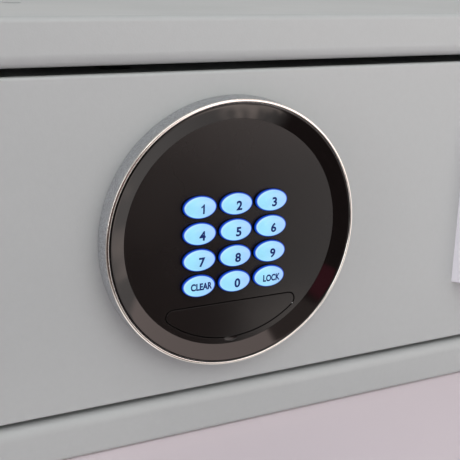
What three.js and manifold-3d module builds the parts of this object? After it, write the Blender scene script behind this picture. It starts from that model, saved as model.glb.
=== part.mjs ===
// Under desk drawer safe with a round illuminated keypad, built as an assembly of separate parts.
// Units are millimetres. X is to the right seen from the front, Y goes into the safe, Z is up.
// Inside the assembly Y is 0 at the front plane of the casing and of the drawer front, and Z is 0 under
// the casing. The group then moves the middle of the footprint to the origin.
import * as THREE from "three";
import { mergeVertices } from "three/addons/utils/BufferGeometryUtils.js";
import Module from "manifold-3d";

const wasm = await Module();
wasm.setup();

// Casing
const CASE_W = 430;
const CASE_H = 190;
const CASE_D = 380;
const CASE_SHEET = 2;
const CASE_CORNER = 4;
const FIXING_HOLE_R = 4.5;
const FIXING_X = 150;
const FIXING_FRONT_Y = 90;
const FIXING_REAR_Y = 300;

// Front frame, folded from the same sheet
const FRAME_FACE = 21;
const FRAME_EDGE = 2.5;
const FRAME_ROLL = 5.5;
const FRAME_RETURN = 16;
const FRAME_SKIRT = 12;
const OPENING_CORNER = 1.5;

// Clearances
const SEAT = 0.3;
const FRONT_GAP = 1.8;
const SLIDE_GAP = 0.4;
const TRAY_LIFT = 4;
const TRAY_REAR_GAP = 8;

// Drawer
const FRONT_T = 5;
const TRAY_SHEET = 1.2;
const TRAY_WALL_H = 125;
const RIM_W = 5;
const RIM_T = 3;
const MAT_T = 3;
const MAT_MARGIN = 1;

// Runners
const RUNNER_H = 45;
const RUNNER_T = 13;
const RUNNER_L = 340;
const RUNNER_SHEET = 1.4;
const RUNNER_Y = 8;
const RUNNER_Z = 70;
const RUNNER_PLAY = 0.5;
const BRACKET_H = 40;
const BRACKET_SHEET = 1.5;
const BRACKET_Y = 18;

// Keypad module, all radii about its own axis
const KEYPAD_X = 80;
const KEYPAD_RISE = 1.4;
const MODULE_R = 60;
const HOUSING_FLARE = 0.6;
const MODULE_T = 8.95;
const TRIM_H = 1.35;
const TRIM_W = 1.4;
const TRIM_EDGE = 0.4;
const TRIM_STEP = 0.1;
const HOUSING_WALL = 3.1;
const HOUSING_FLOOR = 1.6;
const BEZEL_W = 8.8;
const WELL_CLEAR = 0.1;
const WELL_WALL = 1.5;
const WELL_DEPTH = 8;
const FACE_RECESS = 3.22;
const FACE_T = 1.6;
const BEZEL_T = 1.6;
const BEZEL_DROP = 0.25;
const LEDGE_W = 1.3;
const ROUND_STEPS = 64;

// Keys
const KEY_W = 16.2;
const KEY_H = 10.2;
const KEY_PITCH_X = 17.35;
const KEY_PITCH_Z = 11.8;
const KEYS_ABOVE_COVER = 5.2;
const KEY_RISE = 1.4;
const KEY_DOME = 2.3;
const KEY_CLEAR = 0.15;
const KEY_FLANGE = 0.45;
const KEY_TRAVEL = 1;
const KEY_STEPS = 16;
const KEY_NAMES = [
  ["1", "2", "3"],
  ["4", "5", "6"],
  ["7", "8", "9"],
  ["clear", "0", "lock"],
];
const MAT_PLATE_T = 1.2;
const MAT_PAD_R = 3;
const MAT_PAD_H = 0.6;
const MAT_EDGE = 3;
const MAT_CORNER = 4;
const BOARD_T = 1.6;

// Half-moon cover and the recess behind it
const COVER_MARGIN = 3;
const COVER_H = 16.9;
const COVER_CORNER = 3.2;
const COVER_GAP = 0.4;
const COVER_BARREL_R = 0.8;
const COVER_HINGE_DROP = 2.3;
const COVER_BARREL_L = 52;
const RECESS_WALL = 1.2;
const NOTCH_W = 7.2;
const NOTCH_H = 2.2;
const NOTCH_DEPTH = 1.1;
const CONTACT_X = 19;
const CONTACT_INSET = 9.7;
const CONTACT_HEAD_R = 3;
const CONTACT_HEAD_T = 2.8;
const CONTACT_STEM_R = 1.5;

// Override key lock
const OVERRIDE_INSET = 8.5;
const LOCK_BODY_R = 6.3;
const LOCK_HEAD_R = 7.5;
const LOCK_FACE_Y = -0.5;
const LOCK_BODY_END = 22;
const PLUG_R = 4.3;
const PLUG_PROUD = 0.4;
const TAIL_W = 4;
const KEYWAY_W = 1.4;
const KEYWAY_H = 6;
const KEYWAY_DEPTH = 12;

// Lock space behind the drawer front
const LOCK_DEPTH = 40;
const COVER_SHEET = 1.5;
const LOCK_COVER_RISE = 1.7;
const CHASSIS_T = 2;
const CHASSIS_Y = 24;
const CHASSIS_LIFT = 5.5;
const COLUMN_R = 5;
const COLUMN_INSET = 16.7;
const CHASSIS_MARGIN = 5;
const CHASSIS_CORNER = 3;
const SCREW_R = 2;
const SCREW_HEAD_R = 4;
const SCREW_HEAD_T = 2.5;
const SCREW_L = 14;
const SCREW_END_GAP = 2;
const RIBBON_W = 12;
const RIBBON_T = 0.8;
const RIBBON_INSET = 4;
const RIBBON_EXIT = 19;
const RIBBON_RISE = 5;
const RIBBON_LAP = 3;
const RIBBON_BEND = 3;
const SLOT_SIDE = 2;
const SLOT_HALF_H = 2.7;

// Bolt work: rack, gears and bolts
const BOLT_TRAVEL = 12;
const BOLT_R = 7;
const BOLT_L = 20;
const BOLT_PROUD = 0.7;
const BOLT_CHAMFER = 1;
const BOLT_INSET = 42;
const BOLT_SPIGOT_R = 3.5;
const TAB_T = 4;
const TAB_MARGIN = 2;
const BAR_T = 4;
const BAR_H = 12;
const BAR_GAP = 1;
const LEG_W = 14;
const LEG_END = 6;
const PIN_R = 3;
const PIN_HEAD_R = 5;
const PIN_HEAD_T = 1.5;
const PIN_MARGIN = 1;
const RACK_W = 9;
const GEAR_MODULE = 1;
const GEAR_TEETH = 28;
const PINION_TEETH = 10;
const TOOTH_HALF = 0.55;
const PRESSURE_ANGLE = 20;
const DEDENDUM = 1.25;
const TEETH_ABOVE = 3;
const TEETH_SPARE = 2;
const HUB_R = 4.7;
const SHAFT_R = 1.5;
const MOTOR_R = 11.5;
const MOTOR_L = 13.5;
const SHAFT_REACH = 2;
const SHAFT_END_GAP = 1;
const STRIKE_MARGIN = 30;
const STRIKE_T = 3;
const STRIKE_CLEAR = 1;

// Batteries and control board
const CELL_R = 7.1;
const CELL_L = 50.5;
const CELL_CAP_R = 2.7;
const CELL_CAP_L = 1;
const CELL_SHOULDER = 1;
const CELL_FOOT_GAP = 0.5;
const CELL_HEAD_GAP = 1.5;
const CELL_PITCH = 15;
const CELLS = 4;
const BOX_WALL = 1.5;
const BOX_GAP = 8;
const BOX_LIFT = 14;
const LID_T = 2;
const LID_LAP = 3;
const CONTROL_W = 44;
const CONTROL_H = 64;
const CONTROL_GAP = 5;
const CONTROL_STANDOFF = 3;
const POST_R = 2.5;
const POST_INSET = 4;
const RELAY_W = 18;
const RELAY_H = 14;
const RELAY_T = 7.4;
const RELAY_INSET = 7;
const SWITCH_W = 7;
const BUTTON_R = 3.5;
const BUTTON_FLANGE_R = 4.6;
const BUTTON_PROUD = 1.6;
const BUTTON_TRAVEL = 1.2;
const BUTTON_FLANGE_T = 1.2;
const BUTTON_SHIFT = 6;
const BUTTON_DROP = 14;

// Pull
const PULL_X = 79.3;
const PULL_W = 58;
const PULL_H = 82;
const PULL_PROUD = 11;
const PULL_WALL = 3;
const PULL_LIP_T = 3;
const PULL_GRIP = 18;
const CUP_DEPTH = 18;
const CUP_WALL = 2;

// Places worked out from the sizes above
const openingX = CASE_W / 2 - FRAME_FACE;
const openingTop = CASE_H - FRAME_FACE;
const frontX = openingX - FRONT_GAP;
const frontBottom = FRAME_FACE + FRONT_GAP;
const frontTop = openingTop - FRONT_GAP;
const keypadX = -KEYPAD_X;
const keypadZ = CASE_H / 2 + KEYPAD_RISE;
const runnerOutX = openingX - RUNNER_PLAY;
const runnerInX = runnerOutX - RUNNER_T;
const trayX = runnerInX - SEAT;
const trayBottom = FRAME_FACE + TRAY_LIFT;
const trayFront = FRONT_T + SEAT;
const trayRear = CASE_D - CASE_SHEET - TRAY_REAR_GAP;
const lockRear = FRONT_T + LOCK_DEPTH;
const coverX = trayX - TRAY_SHEET - SEAT;
const coverBottom = trayBottom + TRAY_SHEET + SEAT;
const coverTop = frontTop - LOCK_COVER_RISE;
const chassisRear = CHASSIS_Y + CHASSIS_T;
const barFront = chassisRear + BAR_GAP;
const barRear = barFront + BAR_T;
const boltY = barFront + BOLT_R;
const boltTop = coverTop + BOLT_PROUD;
const tabTop = boltTop - BOLT_L - SEAT;
const beamBottom = tabTop - BAR_H;
const columnX = coverX - COLUMN_INSET;
const columnLow = coverBottom + CHASSIS_LIFT + COLUMN_R + CHASSIS_MARGIN;
const columnHigh = beamBottom - COLUMN_R - CHASSIS_MARGIN;
const boltX = columnX - BOLT_INSET;
const faceR = MODULE_R - BEZEL_W;
const wellR = faceR + WELL_CLEAR;
const coverR = faceR - COVER_MARGIN;
const coverEdgeZ = keypadZ - coverR + COVER_H;
const keysZ = coverEdgeZ + KEYS_ABOVE_COVER + KEY_H / 2 + (KEY_PITCH_Z * (KEY_NAMES.length - 1)) / 2;
const contactZ = keypadZ - coverR + CONTACT_INSET;
const overrideZ = keypadZ - coverR + OVERRIDE_INSET;
const faceY = -MODULE_T + FACE_RECESS;
const faceBackY = faceY + FACE_T;
const rimY = -MODULE_T + TRIM_H;
const wellFloorY = WELL_DEPTH - WELL_WALL;
const recessBackY = wellFloorY - SEAT;
const recessFloorY = recessBackY - RECESS_WALL;
const keyBackY = 0;
const padY = keyBackY + KEY_TRAVEL + SEAT;
const matFrontY = padY + MAT_PAD_H;
const boardFrontY = matFrontY + MAT_PLATE_T + SEAT;
const gearR = (GEAR_MODULE * GEAR_TEETH) / 2;
const pinionR = (GEAR_MODULE * PINION_TEETH) / 2;
const motorX = keypadX - gearR - pinionR;
const rackX = keypadX + gearR;
const rackRootX = rackX + GEAR_MODULE * DEDENDUM;
const rackBackX = rackRootX + RACK_W;

// Materials
const paint = new THREE.MeshStandardMaterial({ color: "#b4b4b5", roughness: 0.45, metalness: 0 });
const zinc = new THREE.MeshStandardMaterial({ color: "#c3c6c8", roughness: 0.35, metalness: 1 });
const steel = new THREE.MeshStandardMaterial({ color: "#a9abad", roughness: 0.3, metalness: 1 });
const silver = new THREE.MeshStandardMaterial({ color: "#8d9096", roughness: 0.5, metalness: 0.6 });
const chrome = new THREE.MeshStandardMaterial({ color: "#ecebe8", roughness: 0.12, metalness: 1 });
const gloss = new THREE.MeshStandardMaterial({ color: "#0b0a0a", roughness: 0.08, metalness: 0 });
const satin = new THREE.MeshStandardMaterial({ color: "#2a2523", roughness: 0.4, metalness: 0 });
const keyBlue = new THREE.MeshStandardMaterial({ color: "#8fc3ff", roughness: 0.3, metalness: 0 });
const rubber = new THREE.MeshStandardMaterial({ color: "#d8dde2", roughness: 0.8, metalness: 0 });
const board = new THREE.MeshStandardMaterial({ color: "#1c5a34", roughness: 0.5, metalness: 0 });
const brass = new THREE.MeshStandardMaterial({ color: "#c7a55a", roughness: 0.3, metalness: 1 });
const felt = new THREE.MeshStandardMaterial({ color: "#26272a", roughness: 0.95, metalness: 0 });
const plastic = new THREE.MeshStandardMaterial({ color: "#1d1d1f", roughness: 0.5, metalness: 0 });
const cell = new THREE.MeshStandardMaterial({ color: "#33383f", roughness: 0.3, metalness: 0.3 });
const nylon = new THREE.MeshStandardMaterial({ color: "#e6e2d6", roughness: 0.6, metalness: 0 });
const red = new THREE.MeshStandardMaterial({ color: "#b5221c", roughness: 0.4, metalness: 0 });

const safe = new THREE.Group();
safe.position.y = (PULL_PROUD - CASE_D) / 2;

// Points of an arc with its end point left out, for outlines that go on from there.
function arc(x, y, rx, ry, from, to, steps) {
  return Array.from({ length: steps }, (_, i) => {
    const a = from + ((to - from) * i) / steps;
    return new THREE.Vector2(x + rx * Math.cos(a), y + ry * Math.sin(a));
  });
}

function ellipse(x, y, rx, ry, steps) {
  return arc(x, y, rx, ry, 0, 2 * Math.PI, steps);
}

function circle(x, y, r, steps = 24) {
  return ellipse(x, y, r, r, steps);
}

function rect(x0, x1, y0, y1) {
  return [
    new THREE.Vector2(x0, y0),
    new THREE.Vector2(x1, y0),
    new THREE.Vector2(x1, y1),
    new THREE.Vector2(x0, y1),
  ];
}

// Rounded rectangle with an equal number of points at every radius, counter-clockwise.
function roundRect(x0, x1, y0, y1, r, steps = 3) {
  const corner = (x, y, start) =>
    arc(x, y, r, r, start, start + Math.PI / 2, steps).concat(
      new THREE.Vector2(
        x + r * Math.cos(start + Math.PI / 2),
        y + r * Math.sin(start + Math.PI / 2),
      ),
    );
  return [
    ...corner(x1 - r, y1 - r, 0),
    ...corner(x0 + r, y1 - r, Math.PI / 2),
    ...corner(x0 + r, y0 + r, Math.PI),
    ...corner(x1 - r, y0 + r, Math.PI * 1.5),
  ];
}

function prism(outline, holes, depth) {
  const shape = new THREE.Shape(outline);
  shape.holes = holes.map((points) => new THREE.Path(points));
  return new THREE.ExtrudeGeometry(shape, { depth, bevelEnabled: false });
}

// A plate whose outline lies in X and Z, from y0 back to y1.
function plateY(outline, holes, y0, y1) {
  return prism(outline, holes, y1 - y0)
    .rotateX(Math.PI / 2)
    .translate(0, y1, 0);
}

// A section in Y and Z, run from x0 to x1.
function runX(outline, x0, x1) {
  const turn = new THREE.Matrix4().makeBasis(
    new THREE.Vector3(0, 1, 0),
    new THREE.Vector3(0, 0, 1),
    new THREE.Vector3(1, 0, 0),
  );
  return prism(outline, [], x1 - x0)
    .applyMatrix4(turn)
    .translate(x0, 0, 0);
}

function plateZ(outline, holes, z0, z1) {
  return prism(outline, holes, z1 - z0).translate(0, 0, z0);
}

function block(x0, x1, y0, y1, z0, z1) {
  return new THREE.BoxGeometry(x1 - x0, y1 - y0, z1 - z0).translate(
    (x0 + x1) / 2,
    (y0 + y1) / 2,
    (z0 + z1) / 2,
  );
}

// A body of revolution about an axis along Y, from points of radius and y, turned faces outwards.
function turned(profile, x, z, steps = 24) {
  const area = profile.reduce((sum, [r, y], i) => {
    const [r2, y2] = profile[(i + 1) % profile.length];
    return sum + r * y2 - r2 * y;
  }, 0);
  const points = (area > 0 ? profile : [...profile].reverse()).map(
    ([r, y]) => new THREE.Vector2(r, y),
  );
  const closed = points.every((p) => p.x > 0) ? [...points, points[0].clone()] : points;
  return new THREE.LatheGeometry(closed, steps).translate(x, 0, z);
}

// The same about an axis along Z, from points of radius and z.
function turnedZ(profile, x, y, steps = 24) {
  return turned(profile, 0, 0, steps).rotateX(Math.PI / 2).translate(x, y, 0);
}

function rodY(r, y0, y1, x, z, steps = 24) {
  return turned([[0, y0], [r, y0], [r, y1], [0, y1]], x, z, steps);
}

// Joins and cuts
function solid(geometry) {
  const bare = geometry.clone();
  bare.deleteAttribute("normal");
  bare.deleteAttribute("uv");
  const merged = mergeVertices(bare, 1e-4);
  const index = Array.from(merged.index.array);
  const kept = [];
  for (let i = 0; i < index.length; i += 3) {
    const [a, b, c] = index.slice(i, i + 3);
    if (a !== b && b !== c && c !== a) kept.push(a, b, c);
  }
  return new wasm.Manifold(
    new wasm.Mesh({
      numProp: 3,
      vertProperties: merged.attributes.position.array,
      triVerts: new Uint32Array(kept),
    }),
  );
}

function join(...geometries) {
  return geometries.map(solid).reduce((a, b) => a.add(b));
}

function cut(body, ...geometries) {
  return geometries.map(solid).reduce((a, b) => a.subtract(b), body);
}

function add(name, shape, material) {
  let geometry = shape;
  if (!shape.isBufferGeometry) {
    const made = shape.getMesh();
    geometry = new THREE.BufferGeometry();
    geometry.setAttribute("position", new THREE.BufferAttribute(made.vertProperties, 3));
    geometry.setIndex(new THREE.BufferAttribute(made.triVerts, 1));
    geometry.computeVertexNormals();
  }
  const mesh = new THREE.Mesh(geometry, material);
  mesh.name = name;
  safe.add(mesh);
}

// A ring of sheet that follows the rectangle of the casing: each profile point is an inset from the
// casing's outside, a depth and the radius of the corners there.
function frameRing(profile) {
  const loops = profile.map(([inset, y, r]) =>
    roundRect(-CASE_W / 2 + inset, CASE_W / 2 - inset, inset, CASE_H - inset, r).map(
      (p) => [p.x, y, p.y],
    ),
  );
  const count = loops[0].length;
  const index = [];
  loops.forEach((_, j) => {
    const next = (j + 1) % loops.length;
    for (let i = 0; i < count; i++) {
      const a = j * count + i;
      const b = j * count + ((i + 1) % count);
      const c = next * count + ((i + 1) % count);
      const d = next * count + i;
      index.push(a, c, d, a, b, c);
    }
  });
  return new THREE.BufferGeometry()
    .setAttribute("position", new THREE.Float32BufferAttribute(loops.flat(2), 3))
    .setIndex(index);
}

function quarter(inset, y, r, from, to, corner, steps = 4) {
  return Array.from({ length: steps + 1 }, (_, i) => {
    const a = from + ((to - from) * i) / steps;
    return [inset + r * Math.cos(a), y + r * Math.sin(a), corner];
  });
}

function frontFrame() {
  const innerRoll = FRAME_ROLL - CASE_SHEET;
  const rollInset = FRAME_FACE - FRAME_ROLL;
  const skirtCorner = CASE_CORNER - CASE_SHEET;
  const bevel = FRAME_EDGE * (1 - Math.SQRT1_2);
  const profile = [
    [0, FRAME_SKIRT, CASE_CORNER],
    [0, FRAME_EDGE, CASE_CORNER],
    [bevel, bevel, CASE_CORNER],
    [FRAME_EDGE, 0, CASE_CORNER],
    ...quarter(rollInset, FRAME_ROLL, FRAME_ROLL, -Math.PI / 2, 0, OPENING_CORNER),
    [FRAME_FACE, FRAME_RETURN, OPENING_CORNER],
    [FRAME_FACE - CASE_SHEET, FRAME_RETURN, OPENING_CORNER],
    ...quarter(rollInset, FRAME_ROLL, innerRoll, 0, -Math.PI / 2, OPENING_CORNER),
    [CASE_SHEET + FRAME_EDGE, CASE_SHEET, skirtCorner],
    [CASE_SHEET, CASE_SHEET + FRAME_EDGE, skirtCorner],
    [CASE_SHEET, FRAME_SKIRT, skirtCorner],
  ];
  add("front_frame", frameRing(profile), paint);
}

function casingWrap() {
  const outside = roundRect(-CASE_W / 2, CASE_W / 2, 0, CASE_H, CASE_CORNER);
  const inside = roundRect(
    -CASE_W / 2 + CASE_SHEET,
    CASE_W / 2 - CASE_SHEET,
    CASE_SHEET,
    CASE_H - CASE_SHEET,
    CASE_CORNER - CASE_SHEET,
  );
  const tube = solid(plateY(outside, [inside], FRAME_SKIRT, CASE_D));
  const holes = [];
  for (const x of [-FIXING_X, FIXING_X]) {
    for (const y of [FIXING_FRONT_Y, FIXING_REAR_Y]) {
      holes.push(plateZ(circle(x, y, FIXING_HOLE_R, 16), [], CASE_H - 2 * CASE_SHEET, CASE_H + 1));
    }
  }
  add("casing_wrap", cut(tube, ...holes), paint);
}

function rearPanel() {
  const inset = CASE_SHEET + SEAT;
  const outline = roundRect(
    -CASE_W / 2 + inset,
    CASE_W / 2 - inset,
    inset,
    CASE_H - inset,
    CASE_CORNER - CASE_SHEET,
  );
  add("rear_panel", plateY(outline, [], CASE_D - CASE_SHEET, CASE_D), paint);
}

// An angle under the casing top, behind the front lip. The bolts rise through its flat leg.
function strikePlate() {
  const top = CASE_H - CASE_SHEET - SEAT;
  const bottom = openingTop + STRIKE_CLEAR;
  const front = boltY - BOLT_R - STRIKE_CLEAR - 2 * STRIKE_T;
  const rear = boltY + BOLT_R + 2 * STRIKE_CLEAR + STRIKE_T;
  const section = [
    new THREE.Vector2(front, bottom),
    new THREE.Vector2(rear, bottom),
    new THREE.Vector2(rear, bottom + STRIKE_T),
    new THREE.Vector2(front + STRIKE_T, bottom + STRIKE_T),
    new THREE.Vector2(front + STRIKE_T, top),
    new THREE.Vector2(front, top),
  ];
  const holes = [-boltX, boltX].map((x) =>
    plateZ(circle(x, boltY, BOLT_R + STRIKE_CLEAR), [], bottom - 1, bottom + STRIKE_T + 1),
  );
  const end = boltX + STRIKE_MARGIN;
  add("strike_plate", cut(solid(runX(section, -end, end)), ...holes), steel);
}

// A channel open towards the middle or the outside, as a section in X and Z for the right side.
function channel(webX, openX, z, height, sheet) {
  const half = height / 2;
  const inner = webX + Math.sign(openX - webX) * sheet;
  return [
    new THREE.Vector2(webX, z - half),
    new THREE.Vector2(openX, z - half),
    new THREE.Vector2(openX, z - half + sheet),
    new THREE.Vector2(inner, z - half + sheet),
    new THREE.Vector2(inner, z + half - sheet),
    new THREE.Vector2(openX, z + half - sheet),
    new THREE.Vector2(openX, z + half),
    new THREE.Vector2(webX, z + half),
  ];
}

function mirrored(outline, side) {
  return outline.map((p) => new THREE.Vector2(p.x * side, p.y));
}

function runner(side, label) {
  const wallX = CASE_W / 2 - CASE_SHEET - SEAT;
  const step = RUNNER_SHEET + SLIDE_GAP;
  const end = RUNNER_Y + RUNNER_L;
  const bracket = channel(runnerOutX + SEAT, wallX, RUNNER_Z, BRACKET_H, BRACKET_SHEET);
  const outer = channel(runnerOutX, runnerInX + step, RUNNER_Z, RUNNER_H, RUNNER_SHEET);
  const middle = channel(
    runnerOutX - step,
    runnerInX + step,
    RUNNER_Z,
    RUNNER_H - 2 * step,
    RUNNER_SHEET,
  );
  const inner = channel(
    runnerInX,
    runnerOutX - 2 * step,
    RUNNER_Z,
    RUNNER_H - 4 * step,
    RUNNER_SHEET,
  );
  add("runner_bracket_" + label, plateY(mirrored(bracket, side), [], BRACKET_Y, end), paint);
  add("runner_outer_" + label, plateY(mirrored(outer, side), [], RUNNER_Y, end), zinc);
  add("runner_middle_" + label, plateY(mirrored(middle, side), [], RUNNER_Y, end), zinc);
  add("runner_inner_" + label, plateY(mirrored(inner, side), [], RUNNER_Y, end), zinc);
}

// The flat steel front: a round hole for the keypad's well and a square one for the pull's cup.
function drawerFront() {
  const outline = rect(-frontX, frontX, frontBottom, frontTop);
  const well = circle(keypadX, keypadZ, wellR + WELL_WALL + SEAT, ROUND_STEPS);
  const cup = rect(...cupBox(SEAT));
  add("drawer_front", plateY(outline, [well, cup], 0, FRONT_T), paint);
}

// Outside of the pull's cup behind the front, grown by a margin: x0, x1, z0, z1.
function cupBox(grow) {
  const halfW = PULL_W / 2 - PULL_WALL + grow;
  const halfH = PULL_H / 2 - PULL_WALL + grow;
  const z = CASE_H / 2;
  return [PULL_X - halfW, PULL_X + halfW, z - halfH, z + halfH];
}

function drawerTray() {
  const top = trayBottom + TRAY_WALL_H;
  const body = solid(block(-trayX, trayX, trayFront, trayRear, trayBottom, top));
  const room = block(
    -trayX + TRAY_SHEET,
    trayX - TRAY_SHEET,
    trayFront - 1,
    trayRear - TRAY_SHEET,
    trayBottom + TRAY_SHEET,
    top + 1,
  );
  const rims = [-1, 1].map((side) => {
    const outerX = side * (trayX - TRAY_SHEET / 2);
    const innerX = side * (trayX - RIM_W);
    return block(
      Math.min(outerX, innerX),
      Math.max(outerX, innerX),
      lockRear + LID_T,
      trayRear - TRAY_SHEET / 2,
      top - RIM_T,
      top,
    );
  });
  const rearRim = block(
    -trayX + TRAY_SHEET / 2,
    trayX - TRAY_SHEET / 2,
    trayRear - RIM_W,
    trayRear - TRAY_SHEET / 2,
    top - RIM_T,
    top,
  );
  const tray = cut(body, room);
  add("drawer_tray", [...rims, rearRim].map(solid).reduce((a, b) => a.add(b), tray), paint);
  const matX = trayX - TRAY_SHEET - MAT_MARGIN;
  const matBottom = trayBottom + TRAY_SHEET + SEAT;
  add(
    "liner_mat",
    block(
      -matX,
      matX,
      lockRear + MAT_MARGIN,
      trayRear - TRAY_SHEET - MAT_MARGIN,
      matBottom,
      matBottom + MAT_T,
    ),
    felt,
  );
}

function keypadHousing() {
  const backR = MODULE_R + HOUSING_FLARE;
  const rimR = MODULE_R + TRIM_STEP;
  const innerR = MODULE_R - HOUSING_WALL;
  const wellOut = wellR + WELL_WALL;
  const profile = [
    [0, WELL_DEPTH],
    [wellOut, WELL_DEPTH],
    [wellOut, 0],
    [backR, 0],
    [rimR, rimY],
    [innerR, rimY],
    [innerR, -HOUSING_FLOOR],
    [wellR, -HOUSING_FLOOR],
    [wellR, wellFloorY],
    [0, wellFloorY],
  ];
  const pan = solid(turned(profile, keypadX, keypadZ, ROUND_STEPS));
  const lockHole = rodY(LOCK_BODY_R + SEAT * 2, wellFloorY - 1, WELL_DEPTH + 1, keypadX, overrideZ);
  const [x0, x1] = ribbonX();
  const z = ribbonZ();
  const slot = block(
    x0 - SLOT_SIDE,
    x1 + SLOT_SIDE,
    wellFloorY - 1,
    WELL_DEPTH + 1,
    z - SLOT_HALF_H,
    z + SLOT_HALF_H,
  );
  add("keypad_housing", cut(pan, lockHole, slot), silver);
}

function trimRing() {
  const inner = MODULE_R - TRIM_W;
  const profile = [
    [inner, rimY],
    [MODULE_R, rimY],
    [MODULE_R, -MODULE_T + TRIM_EDGE],
    [MODULE_R - TRIM_EDGE, -MODULE_T],
    [inner + TRIM_EDGE / 2, -MODULE_T],
    [inner, -MODULE_T + TRIM_EDGE / 2],
  ];
  add("trim_ring", turned(profile, keypadX, keypadZ, ROUND_STEPS), chrome);
}

// The sloped black ring. Its rear ledge carries the face plate, and its rim lies on the housing.
function glossRing() {
  const outer = MODULE_R - TRIM_W - SEAT;
  const top = -MODULE_T + BEZEL_DROP;
  const rim = rimY - SEAT;
  const seatR = MODULE_R - HOUSING_WALL - SEAT;
  const ledgeY = faceBackY + SEAT;
  const profile = [
    [outer, rim],
    [outer, top],
    [faceR + SEAT, faceY],
    [faceR + SEAT, ledgeY],
    [faceR - LEDGE_W, ledgeY],
    [faceR - LEDGE_W, ledgeY + BEZEL_T / 2],
    [faceR + SEAT + BEZEL_T, ledgeY + BEZEL_T / 2],
    [seatR, rim + BEZEL_T],
    [seatR, rim],
  ];
  add("gloss_ring", turned(profile, keypadX, keypadZ, ROUND_STEPS), gloss);
}

// Half-moon outline grown by a margin: an arc about the module's axis, a straight top and round tips.
function halfMoon(grow) {
  const r = coverR + grow;
  const corner = COVER_CORNER + grow;
  const tipZ = coverEdgeZ - COVER_CORNER;
  const tipX = Math.sqrt((coverR - COVER_CORNER) ** 2 - (tipZ - keypadZ) ** 2);
  const low = Math.atan2(tipZ - keypadZ, tipX);
  const tip = (side) =>
    side > 0
      ? arc(keypadX + tipX, tipZ, corner, corner, low, Math.PI / 2, 6)
      : arc(keypadX - tipX, tipZ, corner, corner, Math.PI / 2, Math.PI - low, 6);
  const bottom = arc(keypadX, keypadZ, r, r, Math.PI - low, 2 * Math.PI + low, 24);
  return [...tip(1), ...tip(-1), ...bottom];
}

function keyPlaces() {
  const places = [];
  KEY_NAMES.forEach((row, j) =>
    row.forEach((name, i) => {
      const x = keypadX + (i - (row.length - 1) / 2) * KEY_PITCH_X;
      const z = keysZ - (j - (KEY_NAMES.length - 1) / 2) * KEY_PITCH_Z;
      places.push({ name, x, z });
    }),
  );
  return places;
}

// The flat face with its key holes, and the half-moon recess moulded behind it.
function facePlate() {
  const keyHoles = keyPlaces().map(({ x, z }) =>
    ellipse(x, z, KEY_W / 2 + KEY_CLEAR, KEY_H / 2 + KEY_CLEAR, KEY_STEPS),
  );
  const opening = halfMoon(COVER_GAP);
  const disc = circle(keypadX, keypadZ, faceR, ROUND_STEPS);
  const face = plateY(disc, [...keyHoles, opening], faceY, faceBackY);
  const walls = plateY(halfMoon(COVER_GAP + RECESS_WALL), [opening], faceBackY - FACE_T / 2, recessBackY);
  const floor = plateY(
    halfMoon(COVER_GAP + RECESS_WALL / 2),
    [
      circle(keypadX, overrideZ, LOCK_BODY_R + SEAT),
      ...[-1, 1].map((side) =>
        circle(keypadX + side * CONTACT_X, contactZ, CONTACT_STEM_R + SEAT, 12),
      ),
    ],
    recessFloorY,
    recessBackY,
  );
  const notch = plateY(
    ellipse(keypadX, keypadZ - coverR - COVER_GAP, NOTCH_W / 2, NOTCH_H, 16),
    [],
    faceY - 1,
    faceY + NOTCH_DEPTH,
  );
  add("face_plate", cut(join(face, walls, floor), notch), satin);
}

function serviceCover() {
  const plate = plateY(halfMoon(0), [], faceY, faceBackY);
  const barrelY = (faceY + faceBackY) / 2;
  const barrelZ = coverEdgeZ - COVER_HINGE_DROP;
  const barrel = new THREE.CylinderGeometry(
    COVER_BARREL_R,
    COVER_BARREL_R,
    COVER_BARREL_L,
    12,
  )
    .rotateZ(Math.PI / 2)
    .translate(keypadX, barrelY, barrelZ);
  add("service_cover", join(plate, barrel), satin);
}

// A key cap: flange behind the face, straight body that stands out of it and a low dome.
function keys() {
  const r = KEY_W / 2;
  const flangeY = faceBackY + SEAT;
  const shoulderY = faceY - KEY_RISE;
  const profile = [
    [0, keyBackY],
    [r + KEY_FLANGE, keyBackY],
    [r + KEY_FLANGE, flangeY],
    [r, flangeY],
    [r, shoulderY],
    [r * 0.93, shoulderY - KEY_DOME * 0.44],
    [r * 0.6, shoulderY - KEY_DOME * 0.87],
    [0, shoulderY - KEY_DOME],
  ];
  keyPlaces().forEach(({ name, x, z }) => {
    const cap = turned(profile, 0, 0, KEY_STEPS).scale(1, 1, KEY_H / KEY_W);
    add("key_" + name, cap.translate(x, 0, z), keyBlue);
  });
}

function keypadInside() {
  const places = keyPlaces();
  const halfW = KEY_PITCH_X + KEY_W / 2 + MAT_EDGE;
  const topZ = places[0].z + KEY_H / 2 + MAT_EDGE;
  const bottomZ = places[places.length - 1].z - KEY_H / 2 + MAT_EDGE / 2;
  const plate = plateY(
    roundRect(keypadX - halfW, keypadX + halfW, bottomZ, topZ, MAT_CORNER),
    [],
    matFrontY,
    matFrontY + MAT_PLATE_T,
  );
  const pads = places.map(({ x, z }) =>
    plateY(circle(x, z, MAT_PAD_R, 8), [], padY, matFrontY + MAT_PLATE_T / 2),
  );
  add("key_mat", join(plate, ...pads), rubber);

  const r = wellR - SEAT;
  const flat = coverEdgeZ + COVER_GAP + RECESS_WALL + SEAT;
  const start = Math.asin((flat - keypadZ) / r);
  const outline = arc(keypadX, keypadZ, r, r, start, Math.PI - start, 36);
  outline.push(
    new THREE.Vector2(
      keypadX + r * Math.cos(Math.PI - start),
      keypadZ + r * Math.sin(Math.PI - start),
    ),
  );
  add("keypad_board", plateY(outline, [], boardFrontY, boardFrontY + BOARD_T), board);
}

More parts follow.
